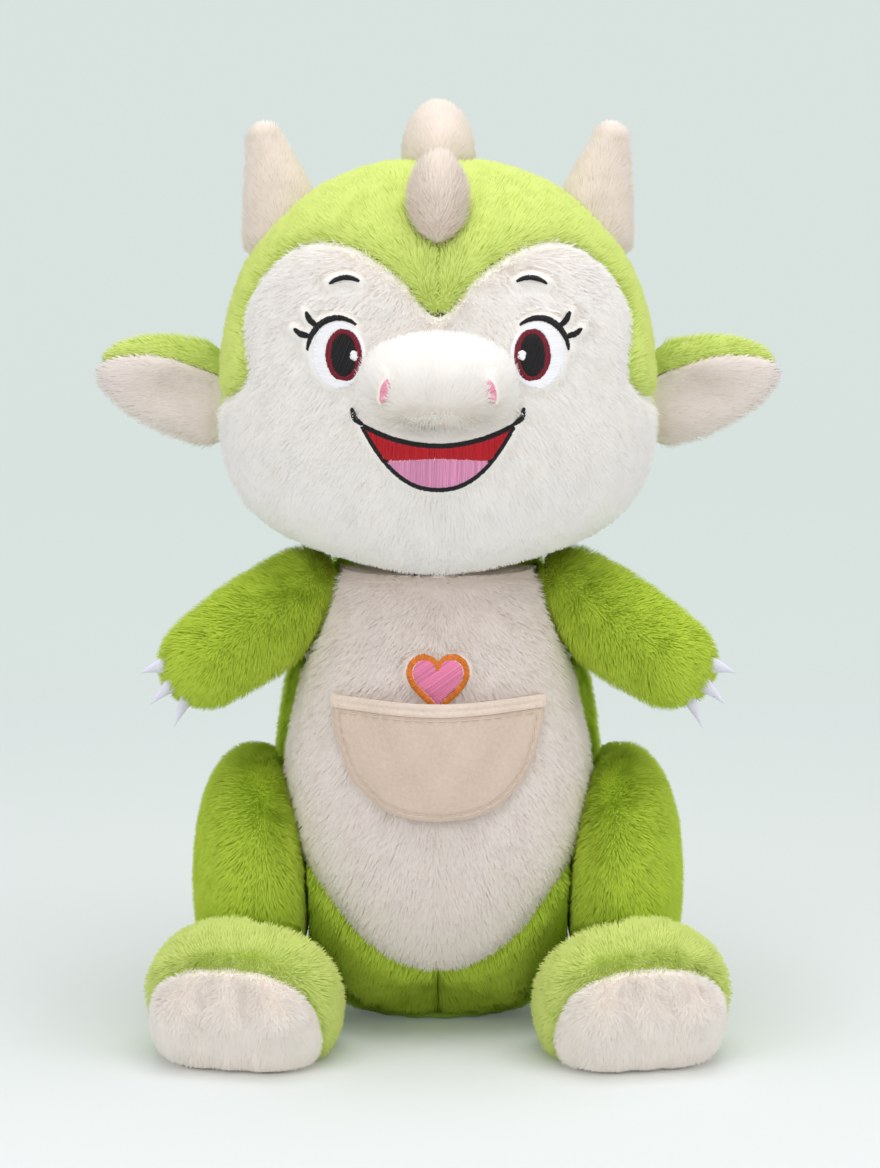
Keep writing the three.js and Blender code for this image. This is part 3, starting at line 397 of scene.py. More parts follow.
def onto_seam(points, normals, inside_at, reach):
    """Points within reach of a seam slide along the surface to half a seam gap inside it."""
    nudge = 1e-4
    here = inside_at(points) - SEAM_GAP / 2
    slope = np.column_stack([
        (inside_at(points + nudge * axis) - SEAM_GAP / 2 - here) / nudge for axis in np.eye(3)
    ])
    slope -= normals * np.sum(slope * normals, axis=1, keepdims=True)
    steepness = np.maximum(np.sum(slope * slope, axis=1), 1e-6)
    near = np.abs(here) < reach * np.sqrt(steepness)
    moved = points - slope * (np.where(near, here, 0) / steepness)[:, None]
    return moved, np.where(near, 0, here)


def thicken(piece, thickness):
    """A skin becomes cloth that is as thick as given, on its inner side."""
    cloth = piece.modifiers.new("cloth", "SOLIDIFY")
    cloth.thickness = thickness
    cloth.offset = -1


def panel_piece(name, surface, inside_at, facts, look, reach):
    """The part of a surface that lies inside a seam, as its own piece of cloth. The points within reach
    of the seam are moved onto it, and facts are values on the points that the piece keeps."""
    points, faces = surface
    points, inside = onto_seam(points, facts["outward"], inside_at, reach)
    corner_sets = np.array(faces)
    kept = inside[corner_sets].mean(axis=1) > 0
    used = np.unique(corner_sets[kept])
    place = np.full(len(points), -1)
    place[used] = np.arange(len(used))
    piece = link_piece(name, points[used], place[corner_sets[kept]].tolist(), look)
    seam_share = smooth_step(inside[used], 0, SEAM_WIDTH / 2)
    seam_growth = facts["growth"][used] * (SEAM_PILE_SHARE + (1 - SEAM_PILE_SHARE) * seam_share)
    write_attribute(piece.data, "growth", seam_growth)
    write_attribute(piece.data, "comb", facts["comb"][used])
    write_attribute(piece.data, "outward", facts["outward"][used])
    thicken(piece, CLOTH_THICKNESS)
    return piece


def new_tree(name, inputs):
    """A tree for geometry, with named inputs, and the outputs of its input node."""
    tree = bpy.data.node_groups.new(name, "GeometryNodeTree")
    tree.interface.new_socket("Geometry", in_out="OUTPUT", socket_type="NodeSocketGeometry")
    for label, (kind, value) in {"Geometry": ("Geometry", None), **inputs}.items():
        socket = tree.interface.new_socket(label, in_out="INPUT", socket_type=f"NodeSocket{kind}")
        if value is not None:
            socket.default_value = value
    return tree, tree.nodes.new("NodeGroupInput").outputs


def number(tree, operation, first, second):
    return put(tree, "ShaderNodeMath", {0: first, 1: second}, operation=operation).outputs[0]


def vector(tree, operation, first, second):
    return put(tree, "ShaderNodeVectorMath", {0: first, 1: second}, operation=operation).outputs["Vector"]


def scaled(tree, first, scale):
    return put(tree, "ShaderNodeVectorMath", {0: first, 3: scale}, operation="SCALE").outputs["Vector"]


def dot(tree, first, second):
    return put(tree, "ShaderNodeVectorMath", {0: first, 1: second}, operation="DOT_PRODUCT").outputs["Value"]


def attribute(tree, name, kind):
    return put(tree, "GeometryNodeInputNamedAttribute", {"Name": name}, data_type=kind).outputs["Attribute"]


def stored(tree, geometry, name, value, kind="FLOAT"):
    store = {"Geometry": geometry, "Name": name, "Value": value}
    node = put(tree, "GeometryNodeStoreNamedAttribute", store, data_type=kind, domain="POINT")
    return node.outputs["Geometry"]


def strand_leaf(tree, position):
    """One strand of unit size: a flat leaf that stands along Z and narrows toward its tip."""
    grid = put(tree, "GeometryNodeMeshGrid", {"Vertices X": 2, "Vertices Y": 2}).outputs["Mesh"]
    corner = put(tree, "ShaderNodeSeparateXYZ", {"Vector": position}).outputs
    along = number(tree, "ADD", corner["Y"], 0.5)
    narrow = number(tree, "SUBTRACT", number(tree, "MULTIPLY", along, PILE_TAPER), 1)
    across = number(tree, "MULTIPLY", corner["X"], narrow)
    place = put(tree, "ShaderNodeCombineXYZ", {"X": across, "Z": along}).outputs["Vector"]
    marked = stored(tree, grid, "along", along)
    return put(tree, "GeometryNodeSetPosition", {"Geometry": marked, "Position": place}).outputs["Geometry"]


def strand_turn(tree, given, laid, upright, position):
    """How a strand stands: its tip leans with the comb and its lock, and its flat side faces outwards."""
    lean = scaled(tree, laid, given["Lean"])
    lock_scale = number(tree, "DIVIDE", 1, given["Lock size"])
    locks = put(tree, "ShaderNodeTexNoise", {"Detail": 1, "Vector": position, "Scale": lock_scale})
    centred = vector(tree, "SUBTRACT", locks.outputs["Color"], (0.5, 0.5, 0.5))
    wander = scaled(tree, centred, given["Lock strength"])
    shake = {"Min": (-PILE_SHAKE,) * 3, "Max": (PILE_SHAKE,) * 3, "Seed": given["Seed"]}
    shake = put(tree, "FunctionNodeRandomValue", shake, data_type="FLOAT_VECTOR").outputs["Value"]
    heading = upright
    for push in (lean, wander, shake):
        heading = vector(tree, "ADD", heading, push)
    flat_side = vector(tree, "ADD", upright, scaled(tree, shake, PILE_TWIST))
    aim = put(tree, "FunctionNodeAlignRotationToVector", {"Vector": heading}).outputs["Rotation"]
    roll = {"Rotation": aim, "Vector": flat_side}
    return put(tree, "FunctionNodeAlignRotationToVector", roll, axis="Y", pivot_axis="Z").outputs["Rotation"]


def strand_size(tree, given, laid, growth):
    """A strand's width and length: it is shorter where the pile thins out and where it stands up."""
    variety = {2: PILE_VARIETY[0], 3: PILE_VARIETY[1], "Seed": given["Seed"]}
    variety = put(tree, "FunctionNodeRandomValue", variety, data_type="FLOAT").outputs[1]
    tall = number(tree, "MULTIPLY", given["Length"], variety)
    tall = number(tree, "MULTIPLY", tall, number(tree, "POWER", growth, PILE_GROWTH_POWER))
    lie = {"From Max": PILE_LAID_FULLY, "To Min": UPRIGHT_SHARE, "Value": dot(tree, laid, laid)}
    lie = put(tree, "ShaderNodeMapRange", lie).outputs["Result"]
    size = {"X": given["Width"], "Y": given["Width"], "Z": number(tree, "MULTIPLY", tall, lie)}
    return put(tree, "ShaderNodeCombineXYZ", size).outputs["Vector"]


def pile_tree():
    """Pile: flat tapered strands that stand on the cloth, lean with the comb and gather in small locks."""
    tree, given = new_tree("pile", {
        "Strands per square metre": ("Float", PILE_DENSITY), "Length": ("Float", PILE_LENGTH),
        "Width": ("Float", PILE_WIDTH), "Lean": ("Float", PILE_LEAN), "Lock size": ("Float", PILE_LOCK_SIZE),
        "Lock strength": ("Float", PILE_LOCK_STRENGTH), "Seed": ("Int", 1), "Material": ("Material", None),
    })
    normal = put(tree, "GeometryNodeInputNormal").outputs["Normal"]
    position = put(tree, "GeometryNodeInputPosition").outputs["Position"]
    growth = attribute(tree, "growth", "FLOAT")
    comb = attribute(tree, "comb", "FLOAT_VECTOR")
    facing = dot(tree, normal, attribute(tree, "outward", "FLOAT_VECTOR"))
    outside = put(tree, "FunctionNodeCompare", {"A": facing, "B": PILE_FACING_SHARE}).outputs["Result"]
    density = number(tree, "MULTIPLY", given["Strands per square metre"], growth)
    scatter = put(tree, "GeometryNodeDistributePointsOnFaces", {
        "Mesh": given["Geometry"], "Selection": outside, "Density": density, "Seed": given["Seed"],
    }).outputs
    upright = scatter["Normal"]
    laid = vector(tree, "SUBTRACT", comb, vector(tree, "PROJECT", comb, upright))
    stand = put(tree, "GeometryNodeInstanceOnPoints", {
        "Points": stored(tree, scatter["Points"], "skin_normal", upright, "FLOAT_VECTOR"),
        "Instance": strand_leaf(tree, position), "Scale": strand_size(tree, given, laid, growth),
        "Rotation": strand_turn(tree, given, laid, upright, position),
    }).outputs["Instances"]
    strands = put(tree, "GeometryNodeRealizeInstances", {"Geometry": stand}).outputs["Geometry"]
    cloth = stored(tree, given["Geometry"], "skin_normal", normal, "FLOAT_VECTOR")
    cloth = stored(tree, cloth, "along", 0.0)
    together = put(tree, "GeometryNodeJoinGeometry", {"Geometry": strands})
    feed(tree, together, {"Geometry": cloth})
    dress = {"Geometry": together.outputs["Geometry"], "Material": given["Material"]}
    dress = put(tree, "GeometryNodeSetMaterial", dress).outputs["Geometry"]
    put(tree, "NodeGroupOutput", {"Geometry": dress})
    return tree


PILE_TREE = pile_tree()
SOFT_SHADE_SHARE = 0.9


def settle(piece):
    """The result of a piece's modifiers becomes its plain mesh."""
    evaluated = piece.evaluated_get(bpy.context.evaluated_depsgraph_get())
    mesh = bpy.data.meshes.new_from_object(evaluated)
    piece.modifiers.clear()
    piece.data = mesh
    mesh.name = piece.name


def soften_shade(mesh):
    """Strands take most of their shading direction from the cloth that they stand on."""
    count = len(mesh.vertices)
    skin = np.empty(count * 3, np.float32)
    mesh.attributes["skin_normal"].data.foreach_get("vector", skin)
    own = np.empty(count * 3, np.float32)
    mesh.vertex_normals.foreach_get("vector", own)
    blend = skin.reshape(-1, 3) * SOFT_SHADE_SHARE + own.reshape(-1, 3) * (1 - SOFT_SHADE_SHARE)
    blend /= np.maximum(np.linalg.norm(blend, axis=1, keepdims=True), 1e-6)
    mesh.shade_smooth()
    mesh.normals_split_custom_set_from_vertices(blend.tolist())


def apply_tree(piece, tree, values):
    """What a tree makes of a piece, with the given inputs, becomes the piece's plain mesh."""
    modifier = piece.modifiers.new(tree.name, "NODES")
    modifier.node_group = tree
    for item in tree.interface.items_tree:
        if item.in_out == "INPUT" and item.name in values:
            modifier[item.identifier] = values[item.name]
    settle(piece)


def grow_pile(piece, look, seed, length=PILE_LENGTH):
    apply_tree(piece, PILE_TREE, {"Length": length, "Seed": seed, "Material": look})
    soften_shade(piece.data)
    for name in ("skin_normal", "comb", "growth", "outward"):
        piece.data.attributes.remove(piece.data.attributes[name])


def sew_on(piece, node, body):
    """A finished piece stands for its solid and moves with its body."""
    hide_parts(node)
    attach(piece, body)


def finish_plush(piece, node, body):
    sew_on(piece, node, body)


def plush_panel(node, skin, inside_at, look, seed, length=PILE_LENGTH):
    """One sewn panel of a skin, which is given as its surface, its facts, its cell and its body."""
    surface, facts, cell, body = skin
    piece = panel_piece(f"{node}_plush", surface, inside_at, facts, look, cell)
    grow_pile(piece, look, seed, length)
    finish_plush(piece, node, body)


def shade_group(name, inputs, outputs):
    """A group of shader nodes with named inputs and outputs, its input node's outputs and its output node."""
    tree = bpy.data.node_groups.new(name, "ShaderNodeTree")
    for way, sockets in (("INPUT", inputs), ("OUTPUT", outputs)):
        for label, kind in sockets.items():
            tree.interface.new_socket(label, in_out=way, socket_type=f"NodeSocket{kind}")
    return tree, tree.nodes.new("NodeGroupInput").outputs, tree.nodes.new("NodeGroupOutput")


def pile_tone():
    """Pile darker at its roots than at its tips, as painted shade down in the pile, in uneven patches."""
    tree, given, result = shade_group("pile_tone", {"Shaded root": "Color", "Tip": "Color"}, {"Colour": "Color"})
    along = put(tree, "ShaderNodeAttribute", attribute_name="along").outputs["Fac"]
    # The roots take the darker colour: painted shade down in the pile.
    ramp = put(tree, "ShaderNodeMapRange", {"Value": along, "From Max": 0.8, "To Min": 0.5}).outputs["Result"]
    place = put(tree, "ShaderNodeTexCoord").outputs["Object"]
    locks = put(tree, "ShaderNodeTexNoise", {"Vector": place, "Scale": 170, "Detail": 3}).outputs["Fac"]
    uneven = put(tree, "ShaderNodeMapRange", {
        "Value": locks, "From Min": 0.3, "From Max": 0.7, "To Min": -0.14, "To Max": 0.14,
    }).outputs["Result"]
    share = put(tree, "ShaderNodeMath", {0: ramp, 1: uneven}, use_clamp=True).outputs[0]
    tone = put(tree, "ShaderNodeMix", {0: share, 6: given["Shaded root"], 7: given["Tip"]}, data_type="RGBA")
    feed(tree, result, {"Colour": tone.outputs[2]})
    return tree


PILE_TONE = pile_tone()


def linear(red, green, blue):
    """A colour given as it looks on a screen, from 0 to 255, as Blender's own linear values."""
    shares = [channel / 255 for channel in (red, green, blue)]
    return tuple(s / 12.92 if s < 0.04045 else ((s + 0.055) / 1.055) ** 2.4 for s in shares) + (1,)


def plush_material(name, shaded_root, tip):
    """Matt pile whose thin strands let light through from behind, in a colour for roots that is darkened as
    painted shade and one for tips.
    """
    look, tree, surface = new_material(name)
    colours = {"Shaded root": linear(*shaded_root), "Tip": linear(*tip)}
    tone = put(tree, "ShaderNodeGroup", colours, node_tree=PILE_TONE).outputs["Colour"]
    feed(tree, surface, {"Base Color": tone, "Roughness": 1, "Specular IOR Level": 0})
    lit_through = put(tree, "ShaderNodeBsdfTranslucent", {"Color": tone}).outputs["BSDF"]
    behind = put(tree, "ShaderNodeNewGeometry").outputs["Backfacing"]
    either = put(tree, "ShaderNodeMixShader", {"Fac": behind, 1: surface.outputs["BSDF"], 2: lit_through})
    feed(tree, tree.nodes["Material Output"], {"Surface": either.outputs["Shader"]})
    return look


GREEN_PLUSH = plush_material("green_plush_pile", (150, 176, 46), (220, 233, 136))
CREAM_PLUSH = plush_material("cream_plush_pile", (240, 227, 215), (253, 246, 239))
# Painted shade: the same cream cloth made darker, for the belly shaded by the head and for the ear linings.
SHADED_CREAM_PLUSH = plush_material("shaded_cream_plush_pile", (230, 215, 204), (243, 234, 228))
# Painted light: the same cream cloth made lighter, for the face and muzzle lit from overhead.
LIT_FACE_CREAM_PLUSH = plush_material("lit_cream_plush_pile", (243, 235, 226), (253, 249, 245))
# Painted shade: the same green cloth made darker, for the torso's back, arms, haunches and tail, where the
# head shades them and the laid-down pile looks darker.
SHADED_LAID_GREEN_PLUSH = plush_material("shaded_laid_green_plush_pile", (132, 158, 30), (196, 217, 82))
BELLY_OUTLINE = rounded_outline(mirrored(BELLY_SEAM))
HEART = heart_outline()
TORSO_CELL = 0.0009
BELLY_COMB = (0, 0.2, -1)
BACK_COMB = (0, -0.6, -1)


def sleeve_points(start, end, radius_at, directions, proud=0.0, cap_share=0.38, bow=(0, 0, 0)):
    """A stuffed sleeve from start to end with ball ends, whose radius follows its own curve. The bow moves
    its middle aside."""
    start, end, bow = np.array(start, float), np.array(end, float), np.array(bow, float)
    axis = (end - start) / np.linalg.norm(end - start)
    side = np.cross(axis, (0, 0, 1))
    side /= np.linalg.norm(side)
    up = np.cross(axis, side)
    along = directions[:, 2]
    wall = 1 - cap_share
    share = np.clip((along + wall) / (2 * wall), 0, 1)
    over = np.clip((np.abs(along) - wall) / cap_share, 0, 1) * math.pi / 2
    level = np.maximum(np.hypot(directions[:, 0], directions[:, 1]), 1e-9)
    around = side * (directions[:, 0] / level)[:, None] + up * (directions[:, 1] / level)[:, None]
    radius = radius_at(share) + proud
    centre = start + (end - start) * share[:, None] + bow * np.sin(share * math.pi)[:, None]
    cap = axis * (np.sign(along) * np.sin(over) * radius)[:, None]
    return centre + around * (np.cos(over) * radius)[:, None] + cap


ARM_ROOT = (0.042, -0.006, 0.135)
ARM_PAW = (0.07, -0.024, 0.118)
ARM_ROOT_RADIUS = 0.015
ARM_PAW_RADIUS = 0.0146
ARM_SWELL = 0.0012
HIP = (0.057, -0.003, 0.047)
HAUNCH_RADIUS = 0.04
HAUNCH_HALF_WIDTH = 0.019
HAUNCH_ROUNDNESS = 2.3
TAIL_ROOT = (0, 0.034, 0.021)
TAIL_TIP = (0, 0.1, 0.011)
NEIGHBOUR_DIVISIONS = 20
SIDES = (("left", -1), ("right", 1))


def on_side(place, side):
    """A place that is given for the right side, on either side."""
    return np.array((side * place[0], place[1], place[2]))


def arm_radius(share):
    return ARM_ROOT_RADIUS + (ARM_PAW_RADIUS - ARM_ROOT_RADIUS) * share + ARM_SWELL * np.sin(math.pi * share)


def tail_radius(share):
    return np.interp(share, *TAIL_RADII)


def haunch_points(side, directions, proud=0.0):
    """A full round disc turned about the hip."""
    x, y, z = directions.T
    level = np.hypot(y, z)
    power = HAUNCH_ROUNDNESS
    scale = (level ** power + np.abs(x) ** power) ** (-1 / power)
    points = np.column_stack((
        (HAUNCH_HALF_WIDTH + proud) * x * scale,
        (HAUNCH_RADIUS + proud) * y * scale,
        (HAUNCH_RADIUS + proud) * z * scale,
    ))
    return points + on_side(HIP, side)


def turned_about_x(points, pivot, angle):
    moved = points - np.array(pivot)
    turned = moved.copy()
    turned[:, 1] = moved[:, 1] * math.cos(angle) - moved[:, 2] * math.sin(angle)
    turned[:, 2] = moved[:, 1] * math.sin(angle) + moved[:, 2] * math.cos(angle)
    return turned + np.array(pivot)


def limb_neighbours(proud):
    """The surfaces that press into the torso: haunches, arms over their whole swing, and the tail."""
    directions, faces = ball_grid(NEIGHBOUR_DIVISIONS)
    neighbours = []
    for _, side in SIDES:
        neighbours.append(tree_of(haunch_points(side, directions, proud), faces))
        root = on_side(ARM_ROOT, side)
        sleeve = sleeve_points(root, on_side(ARM_PAW, side), arm_radius, directions, proud)
        for degrees in ARM_TURNS:
            turned = turned_about_x(sleeve, root, -math.radians(degrees))
            neighbours.append(tree_of(turned, faces))
    tail = sleeve_points(TAIL_ROOT, TAIL_TIP, tail_radius, directions, proud + TAIL_CLEARANCE)
    neighbours.append(tree_of(tail, faces))
    return neighbours


def belly_inside(points):
    return np.minimum(inside_distance(points, BELLY_OUTLINE), -points[:, 1])


def on_neck(points):
    """The top of the torso: flat at the shoulders, with the neck ball standing on it."""
    moved = points.copy()
    reach = np.hypot(points[:, 0] - NECK_CENTRE[0], points[:, 1] - NECK_CENTRE[1])
    radius = NECK_RADIUS - CLOTH_SINK
    ball = NECK_CENTRE[2] + np.sqrt(np.maximum(radius ** 2 - reach ** 2, 0))
    top = np.maximum(ball, SHOULDER_HEIGHT)
    moved[:, 2] = np.minimum(points[:, 2], top)
    return moved


def torso_growth(points):
    """The pile is left out under the limbs, the seat, the neck and the pocket, and round the heart."""
    growth = np.ones(len(points))
    for neighbour in limb_neighbours(0):
        growth *= smooth_step(clearance(points, neighbour), *LIMB_FADE)
    growth *= smooth_step(points[:, 2], *FLOOR_FADE)
    growth *= smooth_step(np.linalg.norm(points - NECK_CENTRE, axis=1) - NECK_RADIUS, *NECK_FADE)
    front = points[:, 1] < 0
    pocket = np.where(front, inside_distance(points, pocket_outline(POCKET_BARE_TOP)), -1)
    growth *= 1 - smooth_step(pocket, *POCKET_FADE)
    return growth * (1 - np.where(front, smooth_step(inside_distance(points, HEART), *HEART_FADE), 0))


def parted(sides, spread, inside, front_comb, back_comb):
    """The comb of a skin: one way inside its front panel, another way outside it, parted to both sides."""
    aside = np.column_stack((sides, np.zeros((len(sides), 2)))) * spread
    return aside + np.where(inside[:, None] > 0, front_comb, back_comb)


def half_behind(inside_at, side):
    """The half of a skin outside its front panel that lies on one side."""
    return lambda points: np.minimum(-inside_at(points), side * points[:, 0])


def build_torso():
    points, faces = stuffed_surface(TORSO_FORM, TORSO_DIVISIONS, -CLOTH_SINK)
    points = on_neck(points)
    inward = -normals_of(points, faces)
    front = points[:, 1] < 0
    heart = np.where(front, inside_distance(points, HEART), -1)
    points = points - inward * (HEART_LIFT * smooth_step(heart, *HEART_RISE))[:, None]
    points = draw_in(points, inward, belly_inside(points))
    middle = np.where(front, 1, np.abs(points[:, 0]))
    points = draw_in(points, inward, middle, SEAM_DEPTH / 2)
    for neighbour in limb_neighbours(SEAM_GAP):
        points = press_in(points, inward, neighbour, SEAM_GAP)
    points[:, 2] = np.maximum(points[:, 2], GUSSET_TOP * 0.6)
    comb = parted(np.sign(points[:, 0]), TORSO_PARTING, belly_inside(points), BELLY_COMB, BACK_COMB)
    facts = {"growth": torso_growth(points), "comb": comb, "outward": -inward}
    skin = ((points, faces), facts, TORSO_CELL, "torso")
    plush_panel("belly_panel", skin, belly_inside, SHADED_CREAM_PLUSH, 11)
    for seed, (label, side) in enumerate(SIDES, 12):
        inside_at = half_behind(belly_inside, side)
        plush_panel(f"torso_back_{label}", skin, inside_at, SHADED_LAID_GREEN_PLUSH, seed)


GUSSET_STEPS = 56
GUSSET_RINGS = 10
GUSSET_SHARE = 0.985
GUSSET_INSET = 0.0002
GUSSET_TURN_UP = 0.0003
GUSSET_PUCKER = 0.0002
GUSSET_PUCKERS = 14


def gusset_corners(low, high, top):
    """One face of the gusset in rings from the middle outwards, puckered at its edge."""
    corners = []
    level = low.z + GUSSET_INSET + (high.z - low.z - 3 * GUSSET_INSET) * top
    middle, half_depth = (low.y + high.y) / 2, (high.y - low.y) / 2
    for ring in range(1, GUSSET_RINGS + 1):
        share = ring / GUSSET_RINGS
        for k in range(GUSSET_STEPS):
            turn = 2 * math.pi * k / GUSSET_STEPS
            pucker = GUSSET_PUCKER * math.sin(turn * GUSSET_PUCKERS) * share ** 4
            rise = level + GUSSET_TURN_UP * share ** 6 * (1 - top) + pucker
            across = high.x * GUSSET_SHARE * share * math.cos(turn)
            corners.append((across, middle + half_depth * GUSSET_SHARE * share * math.sin(turn), rise))
    return corners


def build_gusset():
    low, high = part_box("base_gusset")
    corners = gusset_corners(low, high, 0) + gusset_corners(low, high, 1)
    faces = []
    level = GUSSET_RINGS * GUSSET_STEPS
    steps = range(GUSSET_STEPS)
    for top in (0, 1):
        for ring in range(GUSSET_RINGS - 1):
            inner = top * level + ring * GUSSET_STEPS
            for k in steps:
                a, b = inner + k, inner + (k + 1) % GUSSET_STEPS
                quad = (a, b, b + GUSSET_STEPS, a + GUSSET_STEPS)
                faces.append(quad if top == 0 else quad[::-1])
        centre_face = [top * level + k for k in steps]
        faces.append(centre_face[::-1] if top == 0 else centre_face)
    rim = level - GUSSET_STEPS
    for k in steps:
        a, b = rim + k, rim + (k + 1) % GUSSET_STEPS
        faces.append((a, b, b + level, a + level))
    piece = link_piece("base_gusset_cloth", np.array(corners), faces, GUSSET_CLOTH)
    sew_on(piece, "base_gusset", "torso")


def cloth_nap():
    """A fine mottled nap, in the colour and as a height."""
    tree, given, result = shade_group(
        "cloth_nap", {"Colour": "Color", "Scale": "Float"}, {"Colour": "Color", "Height": "Float"},
    )
    place = put(tree, "ShaderNodeTexCoord").outputs["Object"]
    nap = {"Vector": place, "Scale": given["Scale"], "Detail": 4}
    nap = put(tree, "ShaderNodeTexNoise", nap).outputs["Fac"]
    broad_scale = number(tree, "DIVIDE", given["Scale"], 9)
    blotch = put(tree, "ShaderNodeTexNoise", {"Vector": place, "Scale": broad_scale}).outputs["Fac"]
    fine = put(tree, "ShaderNodeMapRange", {"Value": nap, "To Min": 0.86, "To Max": 1.1})
    broad = put(tree, "ShaderNodeMapRange", {"Value": blotch, "To Min": 0.94, "To Max": 1.06})
    share = number(tree, "MULTIPLY", fine.outputs["Result"], broad.outputs["Result"])
    tone = scaled(tree, given["Colour"], share)
    feed(tree, result, {"Colour": tone, "Height": nap})
    return tree


CLOTH_NAP = cloth_nap()


def woven_material(name, colour, scale, depth, sheen=0.2, roughness=0.85):
    """Smooth short-napped cloth."""
    look, tree, surface = new_material(name)
    nap = {"Colour": linear(*colour), "Scale": scale}
    nap = put(tree, "ShaderNodeGroup", nap, node_tree=CLOTH_NAP).outputs
    relief = put(tree, "ShaderNodeBump", {"Height": nap["Height"], "Strength": 0.6, "Distance": depth})
    feed(tree, surface, {
        "Base Color": nap["Colour"], "Normal": relief.outputs["Normal"], "Roughness": roughness,
        "Specular IOR Level": 0.2, "Sheen Weight": sheen,
    })
    return look


GUSSET_CLOTH = woven_material("gusset_cloth", (150, 178, 70), 1400, 0.0003)
FIBRE_FILL = woven_material("fibre_fill", (240, 240, 236), 500, 0.0012)


FIBRE_DIVISIONS = 24
FIBRE_DEPTH = 0.0075
FIBRE_LUMP = 0.0012
LUMP_WAVES = ((310, 0), (270, 1), (290, 2))
FIBRE_TO_LIMB = 0.004
FIBRE_GAP = 0.001
FIBRE_TO_SHOULDER = 0.003


def build_filling(name, form, body):
    """Loose fibre, lumpy under the skin."""
    directions, faces = ball_grid(FIBRE_DIVISIONS)
    points = stuffed_points(form, directions, -FIBRE_DEPTH)
    lumps = math.prod(np.sin(points[:, axis] * rate + start) for axis, (rate, start) in enumerate(LUMP_WAVES))
    points += directions * (FIBRE_LUMP * lumps)[:, None]
    if name.startswith("torso"):
        inward = -normals_of(points, faces)
        for neighbour in limb_neighbours(FIBRE_TO_LIMB):
            points = press_in(points, inward, neighbour, FIBRE_GAP)
        points[:, 2] = np.clip(points[:, 2], GUSSET_TOP + FIBRE_GAP, SHOULDER_HEIGHT - FIBRE_TO_SHOULDER)
    piece = link_piece(f"{name}_fibre", points, faces, FIBRE_FILL)
    finish_plush(piece, name, body)


build_torso()
build_gusset()
build_filling("torso_filling", TORSO_FORM, "torso")


# Thread work, as used from the heart on the belly to the face: rows of satin stitch, each a real thread
# that follows the skin and dips into it at both ends. Filled shapes are crossed by straight parallel
# rows, and lines are crossed by short rows square to them.
THREAD_RADIUS = 0.00025
THREAD_PITCH = 0.00036
THREAD_STEP = 0.0011
THREAD_DIP = 0.0004
THREAD_UNEVENNESS = THREAD_PITCH / 7
VIEW_START = -0.3
SKIN_DIVISIONS = 72
FINE_SKIN_DIVISIONS = 96
THREAD_SIDES = 5


def thread_tree():
    """Edges become round threads."""
    tree, given = new_tree("threads", {"Radius": ("Float", THREAD_RADIUS), "Material": ("Material", None)})
    lines = put(tree, "GeometryNodeMeshToCurve", {"Mesh": given["Geometry"]}).outputs["Curve"]
    section = {"Resolution": THREAD_SIDES, "Radius": given["Radius"]}
    section = put(tree, "GeometryNodeCurvePrimitiveCircle", section).outputs["Curve"]
    tubes = put(tree, "GeometryNodeCurveToMesh", {"Curve": lines, "Profile Curve": section}).outputs["Mesh"]
    real = put(tree, "GeometryNodeRealizeInstances", {"Geometry": tubes}).outputs["Geometry"]
    dress = put(tree, "GeometryNodeSetMaterial", {"Geometry": real, "Material": given["Material"]})
    put(tree, "NodeGroupOutput", {"Geometry": dress.outputs["Geometry"]})
    return tree


THREAD_TREE = thread_tree()


def thread_tone():
    """A thread a little lighter or darker from row to row, and the height of its fine twist."""
    tree, given, result = shade_group(
        "thread_tone", {"Colour": "Color", "Unevenness": "Float"}, {"Colour": "Color", "Height": "Float"},
    )
    row = put(tree, "ShaderNodeAttribute", attribute_name="tone").outputs["Fac"]
    shade = put(tree, "ShaderNodeMapRange", {
        "Value": row, "To Min": number(tree, "SUBTRACT", 1, given["Unevenness"]),
        "To Max": number(tree, "ADD", 1, given["Unevenness"]),
    }).outputs["Result"]
    place = put(tree, "ShaderNodeTexCoord").outputs["Object"]
    twist = put(tree, "ShaderNodeTexNoise", {"Vector": place, "Scale": 3200}).outputs["Fac"]
    feed(tree, result, {"Colour": scaled(tree, given["Colour"], shade), "Height": twist})
    return tree


THREAD_TONE = thread_tone()


def thread_material(name, colour, roughness=0.42, unevenness=0.16):
    """Shiny rayon thread."""
    look, tree, surface = new_material(name)
    tone = {"Colour": linear(*colour), "Unevenness": unevenness}
    tone = put(tree, "ShaderNodeGroup", tone, node_tree=THREAD_TONE).outputs
    relief = {"Height": tone["Height"], "Strength": 0.35, "Distance": THREAD_RADIUS / 3}
    feed(tree, surface, {
        "Base Color": tone["Colour"], "Normal": put(tree, "ShaderNodeBump", relief).outputs["Normal"],
        "Roughness": roughness, "Specular IOR Level": 0.4,
    })
    return look


def filled_rows(loops, angle, pitch=THREAD_PITCH):
    """Straight rows that fill an outline in X and Z, leaving out the outlines that lie within it."""
    turn = np.array(((math.cos(angle), math.sin(angle)), (-math.sin(angle), math.cos(angle))))
    flat = [np.asarray(loop) @ turn.T for loop in loops]
    low, high = flat[0][:, 1].min(), flat[0][:, 1].max()
    rows = []
    for level in np.arange(low + pitch / 2, high, pitch):
        crossings = []
        for loop in flat:
            for start, end in zip(loop, np.roll(loop, -1, axis=0)):
                if (start[1] > level) != (end[1] > level):
                    share = (level - start[1]) / (end[1] - start[1])
                    crossings.append(start[0] + share * (end[0] - start[0]))
        crossings.sort()
        for start, end in zip(crossings[::2], crossings[1::2]):
            rows.append(np.array(((start, level), (end, level))) @ turn)
    return rows


def lengths_along(path):
    """How far along a path each of its points lies."""
    return np.concatenate(((0,), np.cumsum(np.linalg.norm(np.diff(path, axis=0), axis=1))))


